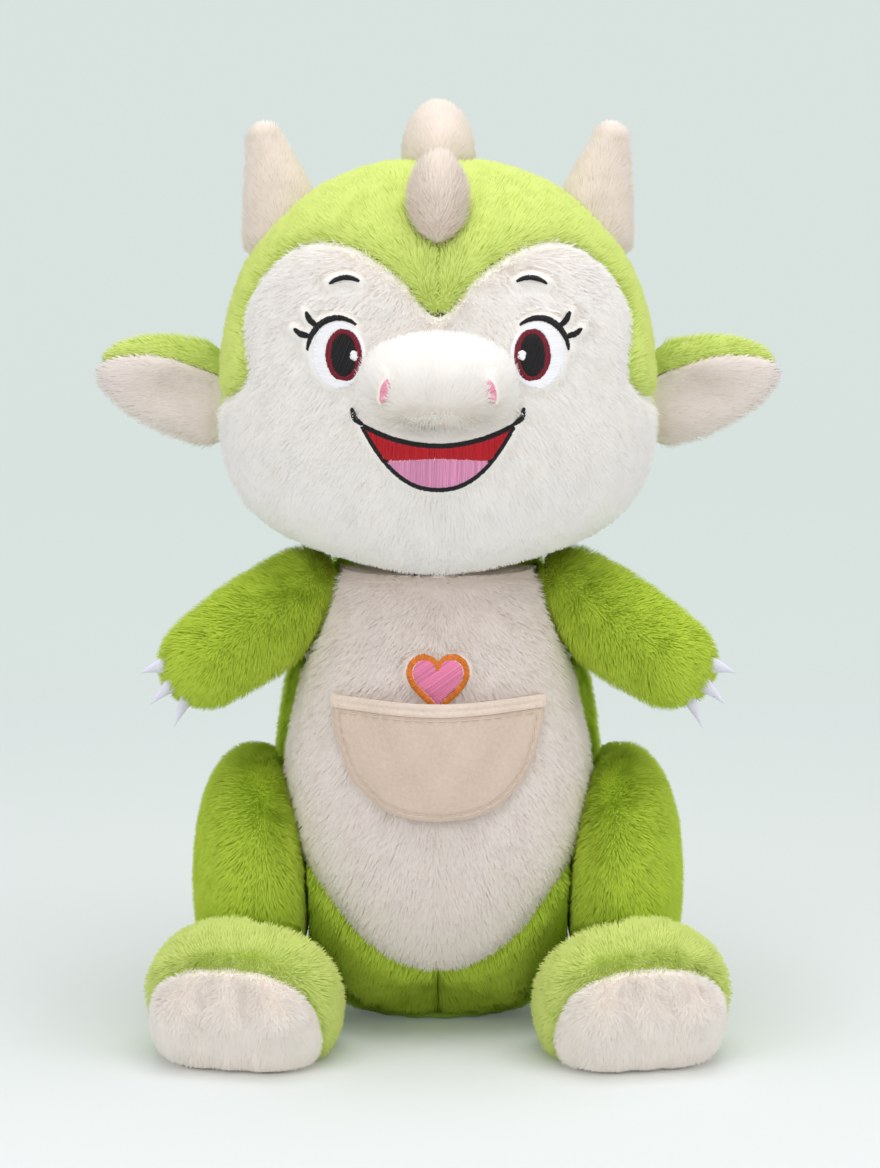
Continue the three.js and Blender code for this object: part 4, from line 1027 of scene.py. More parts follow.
def crossing_rows(path, width_at, closed=False, pitch=THREAD_PITCH, slant=0.25):
    """Short rows across a line in X and Z, whose width follows the share of its length."""
    path = np.asarray(path)
    if closed:
        path = np.vstack((path, path[:1]))
    lengths = lengths_along(path)
    rows = []
    for at in np.arange(pitch / 2, lengths[-1], pitch):
        near = np.clip((at - pitch, at + pitch), 0, lengths[-1])
        before, after = (np.array([np.interp(stop, lengths, path[:, k]) for k in (0, 1)]) for stop in near)
        tangent = (after - before) / np.linalg.norm(after - before)
        across = np.array((-tangent[1], tangent[0])) + tangent * slant
        middle = (before + after) / 2
        half = width_at(at / lengths[-1]) / 2
        rows.append(np.array((middle - across * half, middle + across * half)))
    return rows


def pointed(width):
    return lambda share: width * max(math.sqrt(math.sin(share * math.pi)), 0.25)


def thread_piece(name, corners, edges, tones, look):
    """Edges as round threads, each corner with its own lightness."""
    mesh = bpy.data.meshes.new(name)
    mesh.from_pydata(corners, edges, [])
    write_attribute(mesh, "tone", np.array(tones))
    piece = bpy.data.objects.new(name, mesh)
    bpy.context.scene.collection.objects.link(piece)
    apply_tree(piece, THREAD_TREE, {"Material": look})
    piece.data.shade_smooth()
    return piece


def seen_from_front(skin, across, height):
    """Where a skin lies behind a point of the front view, and its normal there."""
    return skin.ray_cast(Vector((across, VIEW_START, height)), Vector((0, 1, 0)))[:2]


def stitched_piece(node, rows, skin, look, slot_name, body, seed, proud=THREAD_RADIUS):
    """Rows laid on a skin, seen from the front, as threads that dip into it at their ends."""
    random = np.random.default_rng(seed)
    corners, edges, tones = [], [], []
    for row in rows:
        count = max(3, int(np.linalg.norm(row[1] - row[0]) / THREAD_STEP) + 2)
        ends = row + random.normal(0, THREAD_UNEVENNESS, (2, 2))
        shares = np.linspace(0, 1, count)
        laid = []
        for k, (across, height) in enumerate(ends[0] + (ends[1] - ends[0]) * shares[:, None]):
            place, normal = seen_from_front(skin, across, height)
            if place is None:
                continue
            lift = proud - (THREAD_DIP if k in (0, count - 1) else 0)
            laid.append(place + normal * lift)
        first = len(corners)
        corners.extend(laid)
        edges.extend((first + k, first + k + 1) for k in range(len(laid) - 1))
        tones.extend([random.uniform(0, 1)] * len(laid))
    piece = thread_piece(f"{node}_threads", corners, edges, tones, look)
    sew_on(piece, node, body)


WHITE_THREAD = thread_material("white_rayon", (248, 247, 250), 0.5, 0.03)
BLACK_THREAD = thread_material("black_rayon", (12, 11, 14), 0.5)
ORANGE_THREAD = thread_material("orange_rayon", (226, 126, 36))
HEART_THREAD = thread_material("pink_rayon", (236, 138, 176))


def skin_tree(form, proud, divisions=SKIN_DIVISIONS):
    points, faces = stuffed_surface(form, divisions, proud)
    return tree_of(points, faces)


def stitch_heart():
    skin = skin_tree(TORSO_FORM, HEART_LIFT - CLOTH_SINK)
    inner = heart_outline(HEART_BORDER + SEAM_GAP)
    stitched_piece("pocket_heart", filled_rows([inner], 0.6), skin, HEART_THREAD, "pink_thread", "torso", 21)
    line = heart_outline(HEART_BORDER / 2)
    rows = crossing_rows(line, lambda share: HEART_BORDER, closed=True)
    stitched_piece("pocket_heart_border", rows, skin, ORANGE_THREAD, "orange_thread", "torso", 22)


stitch_heart()


# The pocket: smooth short-napped cloth sewn flat on the belly round its edge, with a hem band across the
# mouth that stands off the belly in the middle. A row of topstitch runs just inside the edge.
HEM_HEIGHT = 0.004
POCKET_GAPE = 0.009
POCKET_CLOTH_THICKNESS = 0.0013
POCKET_THICKNESS = 0.0011
HEM_THICKNESS = 0.0014
TOPSTITCH_INSET = 0.0021
TOPSTITCH_LENGTH = 0.0023
TOPSTITCH_PITCH = 0.0032
TOPSTITCH_RADIUS = 0.0002
TOPSTITCH_SHAPE = ((-0.5, 0.0003), (-0.25, 0), (0.25, 0), (0.5, 0.0003))
TOPSTITCH_TONE = 0.5
TOPSTITCH_SPACE = 0.001
TOPSTITCH_GROOVE = 0.0005
TOPSTITCH_GROOVE_WIDTH = 0.0006
POCKET_SEAM_DEPTH = 0.0008
POCKET_SEAM_WIDTH = 0.0011
HEM_SEAM_SHARE = 0.4
POCKET_RIPPLE = 0.00035
POCKET_RIPPLE_ACROSS = 420
POCKET_RIPPLE_UP = 260
POCKET_ROWS = 60
HEM_ROWS = 12
POCKET_COLUMNS = 72
HEM_LIFT = 0.0002
HEM_ROLL = 0.0005
POCKET_CLOTH = woven_material("pocket_cloth", (218, 195, 179), 900, 0.0004)
HEM_CLOTH = woven_material("hem_cloth", (230, 210, 196), 900, 0.0004)
TOPSTITCH_THREAD = thread_material("cream_cotton", (216, 195, 180), 0.7)
MOUTH_BOW_RISE = (POCKET_TOP - TORSO_FORM["centre"][2]) / TORSO_FORM["up"]
MOUTH_BOW = ((0, -1, MOUTH_BOW_RISE), POCKET_GAPE, 0.36)
BOWED_BELLY = dict(TORSO_FORM, swells=[*TORSO_FORM["swells"], MOUTH_BOW])


def sewn_sheet(name, rows, columns, half_at, low, high, place_at, look):
    """A sheet of cloth between two heights, as wide as half_at says at each, laid where place_at says."""
    corners = []
    for height in np.linspace(low, high, rows + 1):
        half = half_at(height)
        for k in range(columns + 1):
            across = half * math.sin((k / columns - 0.5) * math.pi)
            corners.append(place_at(across, height))
    faces = []
    for row in range(rows):
        for k in range(columns):
            a = row * (columns + 1) + k
            faces.append((a, a + 1, a + columns + 2, a + columns + 1))
    return link_piece(name, np.array(corners), faces, look)


def pocket_half(height):
    fall = max(POCKET_TOP - height, 0) / POCKET_DROP
    return POCKET_HALF_WIDTH * max(1 - fall ** POCKET_ROUNDNESS, 0.001) ** (1 / POCKET_ROUNDNESS)


POCKET_SKIN = skin_tree(BOWED_BELLY, SEAM_GAP, FINE_SKIN_DIVISIONS)
POCKET_EDGE = pocket_outline()
HEM_LOW = POCKET_TOP - HEM_HEIGHT


def on_pocket(across, height, proud=POCKET_CLOTH_THICKNESS):
    """The pocket's face at a point of the front view: drawn in at its edge and along its stitches."""
    place, normal = seen_from_front(POCKET_SKIN, across, height)
    inset = inside_distance(np.array(((across, 0, height),)), POCKET_EDGE)[0]
    seam = math.exp(-(max(inset, 0) / POCKET_SEAM_WIDTH) ** 2) * (1 if height < HEM_LOW else HEM_SEAM_SHARE)
    groove = TOPSTITCH_GROOVE * math.exp(-((inset - TOPSTITCH_INSET) / TOPSTITCH_GROOVE_WIDTH) ** 2)
    ripple = POCKET_RIPPLE * math.sin(across * POCKET_RIPPLE_ACROSS + 1) * math.sin(height * POCKET_RIPPLE_UP)
    return place + normal * (proud + ripple - groove - POCKET_SEAM_DEPTH * seam)


def on_hem(across, height):
    roll = HEM_ROLL * max(math.sin(math.pi * (height - HEM_LOW) / HEM_HEIGHT), 0) ** 0.6
    return on_pocket(across, height, POCKET_CLOTH_THICKNESS + HEM_LIFT + roll)


def build_pocket():
    low = POCKET_TOP - POCKET_DROP
    bag_grid, hem_grid = (POCKET_ROWS, POCKET_COLUMNS), (HEM_ROWS, POCKET_COLUMNS)
    bag = sewn_sheet("pocket_cloth", *bag_grid, pocket_half, low, HEM_LOW, on_pocket, POCKET_CLOTH)
    hem_span = (HEM_LOW + SEAM_GAP / 3, POCKET_TOP)
    hem = sewn_sheet("pocket_hem_cloth", *hem_grid, pocket_half, *hem_span, on_hem, HEM_CLOTH)
    for piece, node, thickness in ((bag, "pocket", POCKET_THICKNESS), (hem, "pocket_hem", HEM_THICKNESS)):
        thicken(piece, thickness)
        soft_edge = piece.modifiers.new("turned_edge", "BEVEL")
        soft_edge.width = thickness * 0.3
        soft_edge.segments = 2
        settle(piece)
        sew_on(piece, node, "torso")


def topstitch():
    """Separate stitches along the pocket's edge and under the hem, sunk a little into the cloth."""
    line = pocket_outline(HEM_LOW - TOPSTITCH_SPACE, TOPSTITCH_INSET)
    rail = HEM_LOW - 0.9 * TOPSTITCH_SPACE
    reach = pocket_half(rail) - TOPSTITCH_INSET
    lines = [line, np.column_stack((np.linspace(-reach, reach, 40), np.full(40, rail)))]
    corners, edges = [], []
    for path in lines:
        lengths = lengths_along(path)
        for at in np.arange(TOPSTITCH_PITCH / 2, lengths[-1], TOPSTITCH_PITCH):
            first = len(corners)
            for step, dip in TOPSTITCH_SHAPE:
                stop = at + step * TOPSTITCH_LENGTH
                across, height = (float(np.interp(stop, lengths, path[:, k])) for k in (0, 1))
                corners.append(on_pocket(across, height, POCKET_CLOTH_THICKNESS + TOPSTITCH_RADIUS - dip))
            edges.extend((first + k, first + k + 1) for k in range(3))
    tones = [TOPSTITCH_TONE] * len(corners)
    piece = thread_piece("pocket_topstitch", corners, edges, tones, TOPSTITCH_THREAD)
    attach(piece, "torso")


build_pocket()
topstitch()


# The head: a green crown in two halves and a cream face panel with two lobes over the eyes, sewn over a
# full egg of fibre. The skin dips along its seams and round the ears' roots, and rises under the stitching.
HEAD_FORM = {
    "centre": (0, 0, 0.207), "half_width": 0.065, "front": 0.052, "back": 0.054, "up": 0.062, "down": 0.058,
    "roundness": (2.15, 2.15, 2.9),
    "swells": [
        ((0.78, -0.42, -0.45), 0.005, 0.5), ((-0.78, -0.42, -0.45), 0.005, 0.5),
        ((0, -1, -0.3), 0.006, 0.42), ((0, -0.6, -0.8), 0.007, 0.42),
    ],
}
FACE_SEAM = [
    (0, 0.13), (0.085, 0.13), (0.085, 0.192), (0.066, 0.1965), (0.0565, 0.2045), (0.0575, 0.2215),
    (0.0525, 0.2335), (0.0435, 0.242), (0.034, 0.245), (0.0225, 0.2425), (0.0105, 0.2345), (0, 0.2235),
]
FACE_SIDE = 0.004
HEAD_DIVISIONS = 72
HEAD_CELL = 0.001
STITCHING_RISE = (-0.0018, 0)
STITCHING_SPARSE = (-0.003, -0.0008)
STITCHING_SPARSE_SHARE = 0.78
STITCHING_FADE = (-0.0008, -0.0001)
HEAD_CONTACT_FADE = (-0.001, 0.0008)
HEAD_NECK_FADE = (0.0005, 0.0022)
EAR_BARE_REACH = 0.0075
EAR_BARE_FADE = (0, 0.001)
EAR_SOCKET_SPARE = 0.002
EAR_SOCKET_FADE = (0, 0.003)
EAR_SOCKET_PUSH = 1.6
HEAD_PARTING = 0.4
HEAD_PARTING_FADE = (0, 0.012)
FACE_OUTLINE = rounded_outline(mirrored(FACE_SEAM))
MUZZLE_FORM = {
    "centre": (0, -0.052, 0.2035), "half_width": 0.0235, "front": 0.017, "back": 0.017, "up": 0.0155,
    "down": 0.0135, "roundness": (2.1, 2.1, 2.2),
}
EYE_ACROSS = 0.0275
EYE_HEIGHT = 0.2125
EYE_WHITE_SHIFT = 0.0017
EYE_WHITE_SIZE = (0.0081, 0.0096)
EYE_OVALS = (
    (EYE_WHITE_SHIFT, EYE_WHITE_SIZE), (0, (0.0054, 0.0079)), (0, (0.0039, 0.0063)),
    (-0.0031, (0.0015, 0.0015)),
)
THREAD_OVERLAP = 0.0004
LASH_WIDTH = 0.0017
LASH_TURNS = (6, 125)
FLICKS = ((48, 52), (28, 24))
FLICK_LENGTH = 0.0055
FLICK_BEND = (0.0005, -0.0004)
BROW_HEIGHT = 0.233
BROW_HALF_LENGTH = 0.0046
BROW_ARCH = 0.0015
BROW_RISE = 0.0004
BROW_WIDTH = 0.0014
MOUTH_HALF_WIDTH = 0.024
MOUTH_CORNER_HEIGHT = 0.194
MOUTH_LIP_DROP = 0.0065
MOUTH_DEPTH = 0.02
MOUTH_LINE = 0.0017
SATIN_LIFT = 0.0018
FACE_COMB = (0, 0.3, -0.9)
CROWN_COMB = (0, 0.9, 0.3)
HORN_FOOT = (0.0465, 0.005, 0.246)
HORN_LENGTH = 0.035
HORN_LEAN = math.radians(13)
HORN_RADII = (0.014, 0.0062)
FIN_SHAPE = {
    "centre": (0, 0, 0), "half_width": 0.01, "front": 0.015, "back": 0.011, "up": 0.016, "down": 0.008,
    "roundness": (1.8, 2.1, 2),
}
FIN_LEAN = math.radians(16)
HEAD_FINS = ((50, 1), (95, 1.15), (137, 0.9))
BACK_FINS = ((149, 0.8), (177, 0.8))
TAIL_FINS = ((0.3, 0.6), (0.66, 0.45))
EAR_ROOT = (0.0665, 0.006, 0.196)
EAR_ROLL_RADIUS = 0.006
EAR_ROLL_HALF_LENGTH = 0.0145


def ellipse(across, height, half_width, half_height, tilt=0.0):
    turn = np.linspace(0, 2 * math.pi, 48, endpoint=False)
    x, z = half_width * np.cos(turn), half_height * np.sin(turn)
    return np.column_stack((
        across + x * math.cos(tilt) - z * math.sin(tilt), height + x * math.sin(tilt) + z * math.cos(tilt),
    ))


def mouth_outline(inset=0.0):
    """The mouth's edge: an upper lip that dips in the middle and a deep lower curve."""
    half = MOUTH_HALF_WIDTH - 2.4 * inset
    across = np.linspace(half, -half, 41)
    lip = MOUTH_CORNER_HEIGHT - MOUTH_LIP_DROP * (1 - (across / MOUTH_HALF_WIDTH) ** 2) - inset
    below = across[::-1][1:-1]
    fall = (MOUTH_DEPTH - 2 * inset) * (1 - np.abs(below / half) ** 2.3)
    return np.vstack((np.column_stack((across, lip)), np.column_stack((below, lip[0] - fall))))


def eye_oval(side, shift, size, lap=0):
    """An oval of an eye, shifted outwards from its middle, or a little smaller where it's a hole."""
    half_width, half_height = size
    return ellipse(side * (EYE_ACROSS + shift), EYE_HEIGHT, half_width - lap, half_height - lap)


def lash_lines(side):
    """The lash line over the outer half of an eye, and two lashes that flick outwards."""
    reach, rise = (size + SEAM_GAP + LASH_WIDTH / 2 for size in EYE_WHITE_SIZE)

    def on_arc(turn):
        across = side * (EYE_ACROSS + EYE_WHITE_SHIFT + reach * np.cos(turn))
        return np.column_stack((across, EYE_HEIGHT + rise * np.sin(turn)))

    lines = [on_arc(np.radians(np.linspace(*LASH_TURNS, 30)))]
    for turn, lift in FLICKS:
        root = on_arc(np.radians(np.array((turn,))))[0]
        flick = FLICK_LENGTH * np.array((side * math.cos(math.radians(lift)), math.sin(math.radians(lift))))
        bend = root + flick * 0.55 + np.array((side * FLICK_BEND[0], FLICK_BEND[1]))
        lines.append(np.array((root, bend, root + flick)))
    return lines


def brow_line(side):
    share = np.linspace(-1, 1, 15)
    rise = BROW_ARCH * (1 - share ** 2) + BROW_RISE * (share + 1)
    return np.column_stack((side * (EYE_ACROSS - BROW_HALF_LENGTH * share), BROW_HEIGHT + rise))


def line_distance(points, line, half_width):
    """How far inside a line of even width each point is, seen from the front."""
    nearest = np.full(len(points), np.inf)
    flat = points[:, (0, 2)]
    for start, end in zip(line[:-1], line[1:]):
        edge = end - start
        share = np.clip((flat - start) @ edge / (edge @ edge), 0, 1)
        nearest = np.minimum(nearest, np.linalg.norm(flat - start - share[:, None] * edge, axis=1))
    return half_width - nearest


def stitching_inside(points):
    """How far inside the face's stitching each point of the head is."""
    inside = inside_distance(points, mouth_outline())
    for _, side in SIDES:
        inside = np.maximum(inside, inside_distance(points, eye_oval(side, EYE_WHITE_SHIFT, EYE_WHITE_SIZE)))
        for line in lash_lines(side):
            inside = np.maximum(inside, line_distance(points, line, LASH_WIDTH / 2))
        inside = np.maximum(inside, line_distance(points, brow_line(side), LASH_WIDTH / 2.4))
    return np.where(points[:, 1] < 0, inside, -1)


def form_point(form, turn):
    """The point over the middle of a form at a turn from the front."""
    toward = np.array(((0, -math.cos(turn), math.sin(turn)),))
    return stuffed_points(form, toward)[0]


def fin_points(foot, along, size, directions, proud):
    """A stuffed leaf that stands on a seam at foot and leans back along it."""
    leaf = stuffed_points({
        key: value if key in ("centre", "roundness") else value * size for key, value in FIN_SHAPE.items()
    }, directions, proud)
    across = np.array((1.0, 0, 0))
    outward = np.cross(across, along)
    leaned = leaf[:, 1] + math.tan(FIN_LEAN) * leaf[:, 2]
    return foot + across * leaf[:, :1] + along * leaned[:, None] + outward * leaf[:, 2:]


def seam_place(form, degrees):
    turn = math.radians(degrees)
    ahead, behind = (form_point(form, turn + step * FIN_LEAN / 2) for step in (1, -1))
    return form_point(form, turn), (ahead - behind) / np.linalg.norm(ahead - behind)


def horn_points(side, directions, proud):
    foot = on_side(HORN_FOOT, side)
    along = np.array((side * math.sin(HORN_LEAN), 0, math.cos(HORN_LEAN)))
    tip = foot + along * (HORN_LENGTH - HORN_RADII[1])
    return sleeve_points(
        foot, tip, lambda share: HORN_RADII[0] + (HORN_RADII[1] - HORN_RADII[0]) * share ** 1.15,
        directions, proud, 0.3,
    )


def head_neighbours(proud):
    """The surfaces that stand on the head: muzzle, horns and fins."""
    directions, faces = ball_grid(NEIGHBOUR_DIVISIONS)
    neighbours = [tree_of(stuffed_points(MUZZLE_FORM, directions, proud), faces)]
    for _, side in SIDES:
        neighbours.append(tree_of(horn_points(side, directions, proud), faces))
    for degrees, size in HEAD_FINS:
        foot, along = seam_place(HEAD_FORM, degrees)
        neighbours.append(tree_of(fin_points(foot, along, size, directions, proud), faces))
    return neighbours


def beside_ear(points, inward, gap):
    """The head's skin lies round the ears' seam rolls, which turn in it."""
    moved = points.copy()
    for _, side in SIDES:
        apart = points[:, :2] - on_side(EAR_ROOT, side)[:2]
        reach = np.linalg.norm(apart, axis=1)
        level = EAR_ROLL_HALF_LENGTH + EAR_SOCKET_SPARE - np.abs(points[:, 2] - EAR_ROOT[2])
        radius = (EAR_ROLL_RADIUS + gap) * smooth_step(level, *EAR_SOCKET_FADE)
        push = np.maximum(radius - reach, 0)
        moved[:, :2] += (inward[:, :2] * push[:, None]) * EAR_SOCKET_PUSH
    return moved


def face_inside(points):
    return np.minimum(inside_distance(points, FACE_OUTLINE), -FACE_SIDE - points[:, 1])


def head_skin(divisions):
    """The head's skin before it is cut into panels, with its inward directions."""
    points, faces = stuffed_surface(HEAD_FORM, divisions, -CLOTH_SINK)
    inward = -normals_of(points, faces)
    points = points - inward * (SATIN_LIFT * smooth_step(stitching_inside(points), *STITCHING_RISE))[:, None]
    points = draw_in(points, inward, face_inside(points))
    crown = np.where(face_inside(points) < 0, np.abs(points[:, 0]), 1)
    points = draw_in(points, inward, crown, SEAM_DEPTH / 2)
    points = beside_ear(points, inward, SEAM_GAP)
    apart = points - NECK_CENTRE
    reach = np.linalg.norm(apart, axis=1, keepdims=True)
    radius = NECK_RADIUS + SEAM_GAP
    points = np.where(reach < radius, NECK_CENTRE + apart * radius / np.maximum(reach, 1e-6), points)
    return points, faces, inward


def head_growth(points):
    """The pile is left out under the stitching, the muzzle, horns, fins and ears, and on the neck."""
    stitched = stitching_inside(points)
    growth = 1 - STITCHING_SPARSE_SHARE * smooth_step(stitched, *STITCHING_SPARSE)
    growth *= 1 - smooth_step(stitched, *STITCHING_FADE)
    for neighbour in head_neighbours(0):
        growth *= smooth_step(clearance(points, neighbour), *HEAD_CONTACT_FADE)
    growth *= smooth_step(np.linalg.norm(points - NECK_CENTRE, axis=1) - NECK_RADIUS, *HEAD_NECK_FADE)
    for _, side in SIDES:
        reach = np.linalg.norm(points[:, :2] - on_side(EAR_ROOT, side)[:2], axis=1)
        level = EAR_ROLL_HALF_LENGTH - np.abs(points[:, 2] - EAR_ROOT[2])
        growth *= 1 - smooth_step(np.minimum(level, EAR_BARE_REACH - reach), *EAR_BARE_FADE)
    return growth


def build_head():
    points, faces, inward = head_skin(HEAD_DIVISIONS)
    sides = np.sign(points[:, 0]) * smooth_step(np.abs(points[:, 0]), *HEAD_PARTING_FADE)
    comb = parted(sides, HEAD_PARTING, face_inside(points), FACE_COMB, CROWN_COMB)
    facts = {"growth": head_growth(points), "comb": comb, "outward": -inward}
    skin = ((points, faces), facts, HEAD_CELL, "head")
    plush_panel("face_panel", skin, face_inside, LIT_FACE_CREAM_PLUSH, 31)
    for seed, (label, side) in enumerate(SIDES, 32):
        inside_at = half_behind(face_inside, side)
        plush_panel(f"head_crown_{label}", skin, inside_at, GREEN_PLUSH, seed)


build_head()
build_filling("head_filling", HEAD_FORM, "head")
HEAD_SKIN = skin_tree(HEAD_FORM, -CLOTH_SINK)


# The muzzle: a small dome of cream plush, stuffed with fibre and sewn onto the face above the mouth. Its
# pile is longer than the skin's and lies upward and to the sides, and two nostrils are stitched into it.
MUZZLE_SPREAD = 25
MUZZLE_COMB = (0, 0.3, 0.9)
MUZZLE_FADE = (0.0002, 0.0016)
MUZZLE_MOUTH_FADE = (-0.0035, 0)
MUZZLE_MOUTH_SHARE = 0.8
MUZZLE_PILE_LENGTH = 0.0038
MUZZLE_DIVISIONS = 36
NOSTRIL_ACROSS = 0.0153
NOSTRIL_HEIGHT = 0.203
NOSTRIL_SIZE = (0.0014, 0.0036)
NOSTRIL_TILT = math.radians(14)
NOSTRIL_FRONT = -0.055
NOSTRIL_LIFT = 0.0012
NOSTRIL_RISE = (-0.0012, 0)
NOSTRIL_FADE = (-0.0003, 0.0004)
NOSTRIL_THREAD = thread_material("nostril_rayon", (244, 162, 186))


def closed_plush(node, surface, growth, comb, body, look, seed, length=PILE_LENGTH):
    """A whole stuffed piece of one cloth."""
    points, faces = surface
    piece = link_piece(f"{node}_plush", points, faces, look)
    write_attribute(piece.data, "growth", growth)
    write_attribute(piece.data, "comb", np.broadcast_to(comb, points.shape))
    write_attribute(piece.data, "outward", normals_of(points, faces))
    grow_pile(piece, look, seed, length)
    finish_plush(piece, node, body)


def nostril_shape(side):
    return ellipse(side * NOSTRIL_ACROSS, NOSTRIL_HEIGHT, *NOSTRIL_SIZE, side * NOSTRIL_TILT)


def build_muzzle():
    points, faces = stuffed_surface(MUZZLE_FORM, MUZZLE_DIVISIONS, -CLOTH_SINK)
    inward = -normals_of(points, faces)
    stitched = np.maximum(*(inside_distance(points, nostril_shape(side)) for _, side in SIDES))
    stitched = np.where(points[:, 1] < NOSTRIL_FRONT, stitched, -1)
    points = points - inward * (NOSTRIL_LIFT * smooth_step(stitched, *NOSTRIL_RISE))[:, None]
    growth = smooth_step(clearance(points, HEAD_SKIN), *MUZZLE_FADE)
    growth *= 1 - smooth_step(stitched, *NOSTRIL_FADE)
    over_mouth = smooth_step(inside_distance(points, mouth_outline()), *MUZZLE_MOUTH_FADE)
    growth *= 1 - MUZZLE_MOUTH_SHARE * over_mouth
    points = lift_out(points, HEAD_SKIN, SEAM_GAP)
    comb = points * (MUZZLE_SPREAD, 0, 0) + MUZZLE_COMB
    closed_plush(
        "muzzle", (points, faces), growth, comb, "head", LIT_FACE_CREAM_PLUSH, 41,
        MUZZLE_PILE_LENGTH,
    )
    skin = skin_tree(MUZZLE_FORM, NOSTRIL_LIFT - CLOTH_SINK, MUZZLE_DIVISIONS)
    for seed, (label, side) in enumerate(SIDES, 42):
        rows = filled_rows([nostril_shape(side)], math.radians(10))
        stitched_piece(f"nostril_{label}", rows, skin, NOSTRIL_THREAD, "nostril_thread", "head", seed)


build_muzzle()


# The stitched face: eyes in white, maroon and black with lash lines, short brows, and an open mouth with
# a black line round a red lining and a pink tongue.
TONGUE_TOP = 0.1815
TONGUE_SAG = 0.0014
CUT_STEPS = 24
LINE_PROUD = THREAD_RADIUS * 1.6
SMILE_LINE = ((-0.0022, -0.0016), (0.0004, 0.0002), (0.0012, 0.0034))
IRIS_THREAD = thread_material("maroon_rayon", (122, 14, 36))
RED_THREAD = thread_material("red_rayon", (190, 12, 30))
TONGUE_THREAD = thread_material("tongue_rayon", (224, 150, 188))


def clipped_above(outline, limit_at, keep_above):
    """The part of an outline above, or below, a curve of heights."""
    outline = np.asarray(outline)
    kept = (outline[:, 1] > limit_at(outline[:, 0])) == keep_above
    first = np.flatnonzero(kept & ~np.roll(kept, 1))[0]
    run = np.roll(outline, -first, axis=0)[: kept.sum()]
    across = np.linspace(run[-1, 0], run[0, 0], CUT_STEPS)
    return np.vstack((run, np.column_stack((across, limit_at(across)))))


def stitch_eyes(skin):
    for first_seed, (label, side) in zip((50, 60), SIDES):
        white, iris, pupil, glint = (eye_oval(side, *oval) for oval in EYE_OVALS)
        iris_hole, pupil_hole, glint_hole = (eye_oval(side, *oval, THREAD_OVERLAP) for oval in EYE_OVALS[1:])
        parts = (
            ("eye_white", [white, iris_hole], 0.15 * side, WHITE_THREAD, "white_thread"),
            ("iris", [iris, pupil_hole, glint_hole], 1.45, IRIS_THREAD, "iris_thread"),
            ("pupil", [pupil, glint_hole], 1.2, BLACK_THREAD, "black_thread"),
            ("eye_highlight", [glint], 0.3, WHITE_THREAD, "white_thread"),
        )
        for k, (part, loops, angle, look, slot_name) in enumerate(parts):
            rows = filled_rows(loops, angle)
            proud = THREAD_RADIUS * (1 + 0.35 * k)
            stitched_piece(f"{part}_{label}", rows, skin, look, slot_name, "head", first_seed + k, proud)
        lashes = [row for line in lash_lines(side) for row in crossing_rows(line, pointed(LASH_WIDTH))]
        brow = crossing_rows(brow_line(side), pointed(BROW_WIDTH))
        black = (skin, BLACK_THREAD, "black_thread", "head")
        stitched_piece(f"eyelashes_{label}", lashes, *black, first_seed + 5, LINE_PROUD)
        stitched_piece(f"brow_{label}", brow, *black, first_seed + 6)


def stitch_mouth(skin):
    line = crossing_rows(mouth_outline(MOUTH_LINE / 2), lambda share: MOUTH_LINE * 0.85, closed=True)
    for _, side in SIDES:
        corner = np.array((side * MOUTH_HALF_WIDTH, MOUTH_CORNER_HEIGHT))
        dimple = [corner + (side * across, rise) for across, rise in SMILE_LINE]
        line += crossing_rows(dimple, pointed(MOUTH_LINE * 0.9))
    stitched_piece("mouth_outline", line, skin, BLACK_THREAD, "black_thread", "head", 71, LINE_PROUD)
    inner = mouth_outline(MOUTH_LINE * 0.6)

    def tongue_top(across):
        return TONGUE_TOP + TONGUE_SAG * (1 - np.abs(across) / MOUTH_HALF_WIDTH)

    lining = clipped_above(inner, tongue_top, True)
    tongue = clipped_above(inner, tongue_top, False)
    upright = math.radians(88)
    stitched_piece("mouth_lining", filled_rows([lining], upright), skin, RED_THREAD, "red_thread", "head", 72)
    stitched_piece("tongue", filled_rows([tongue], upright), skin, TONGUE_THREAD, "tongue_thread", "head", 73)


FACE_SKIN = skin_tree(HEAD_FORM, SATIN_LIFT - CLOTH_SINK, FINE_SKIN_DIVISIONS)
stitch_eyes(FACE_SKIN)
stitch_mouth(FACE_SKIN)


# The horns and the crest: cream cones on the crown, and stuffed fins along the middle seam of the head,
# the back and the tail. Their pile is shorter than the skin's.
HORN_DIVISIONS = 24
FIN_DIVISIONS = 20
HORN_PILE_LENGTH = 0.003
HORN_FADE = (0.0001, 0.0014)
HORN_COMB = (0.2, 0.5, 1)
STANDING_COMB = (0, 0.4, 0)
# Painted shade: the cream cloth made darker for the horns and fins.
SHADED_HORN_PLUSH = plush_material("shaded_horn_plush_pile", (210, 195, 181), (240, 228, 217))
TORSO_SKIN = skin_tree(TORSO_FORM, -CLOTH_SINK)


def standing_piece(node, points, faces, skin, body, seed, up):
    """A small stuffed piece sewn onto a skin, with its pile laid upward along it."""
    growth = smooth_step(clearance(points, skin), *HORN_FADE)
    surface = (lift_out(points, skin, SEAM_GAP), faces)
    comb = np.asarray(up, float) + STANDING_COMB
    closed_plush(node, surface, growth, comb, body, SHADED_HORN_PLUSH, seed, HORN_PILE_LENGTH)


def build_horns():
    directions, faces = ball_grid(HORN_DIVISIONS)
    for seed, (label, side) in enumerate(SIDES):
        points = horn_points(side, directions, -CLOTH_SINK)
        standing_piece(f"horn_{label}", points, faces, HEAD_SKIN, "head", 80 + seed, on_side(HORN_COMB, side))


def build_fins(label, places, form, skin, body, seed):
    directions, faces = ball_grid(FIN_DIVISIONS)
    for k, (degrees, size) in enumerate(places):
        foot, along = seam_place(form, degrees)
        points = fin_points(foot, along, size, directions, -CLOTH_SINK)
        up = np.cross((1, 0, 0), along) + along / 2
        standing_piece(f"{label}_{k + 1}", points, faces, skin, body, seed + k, up)


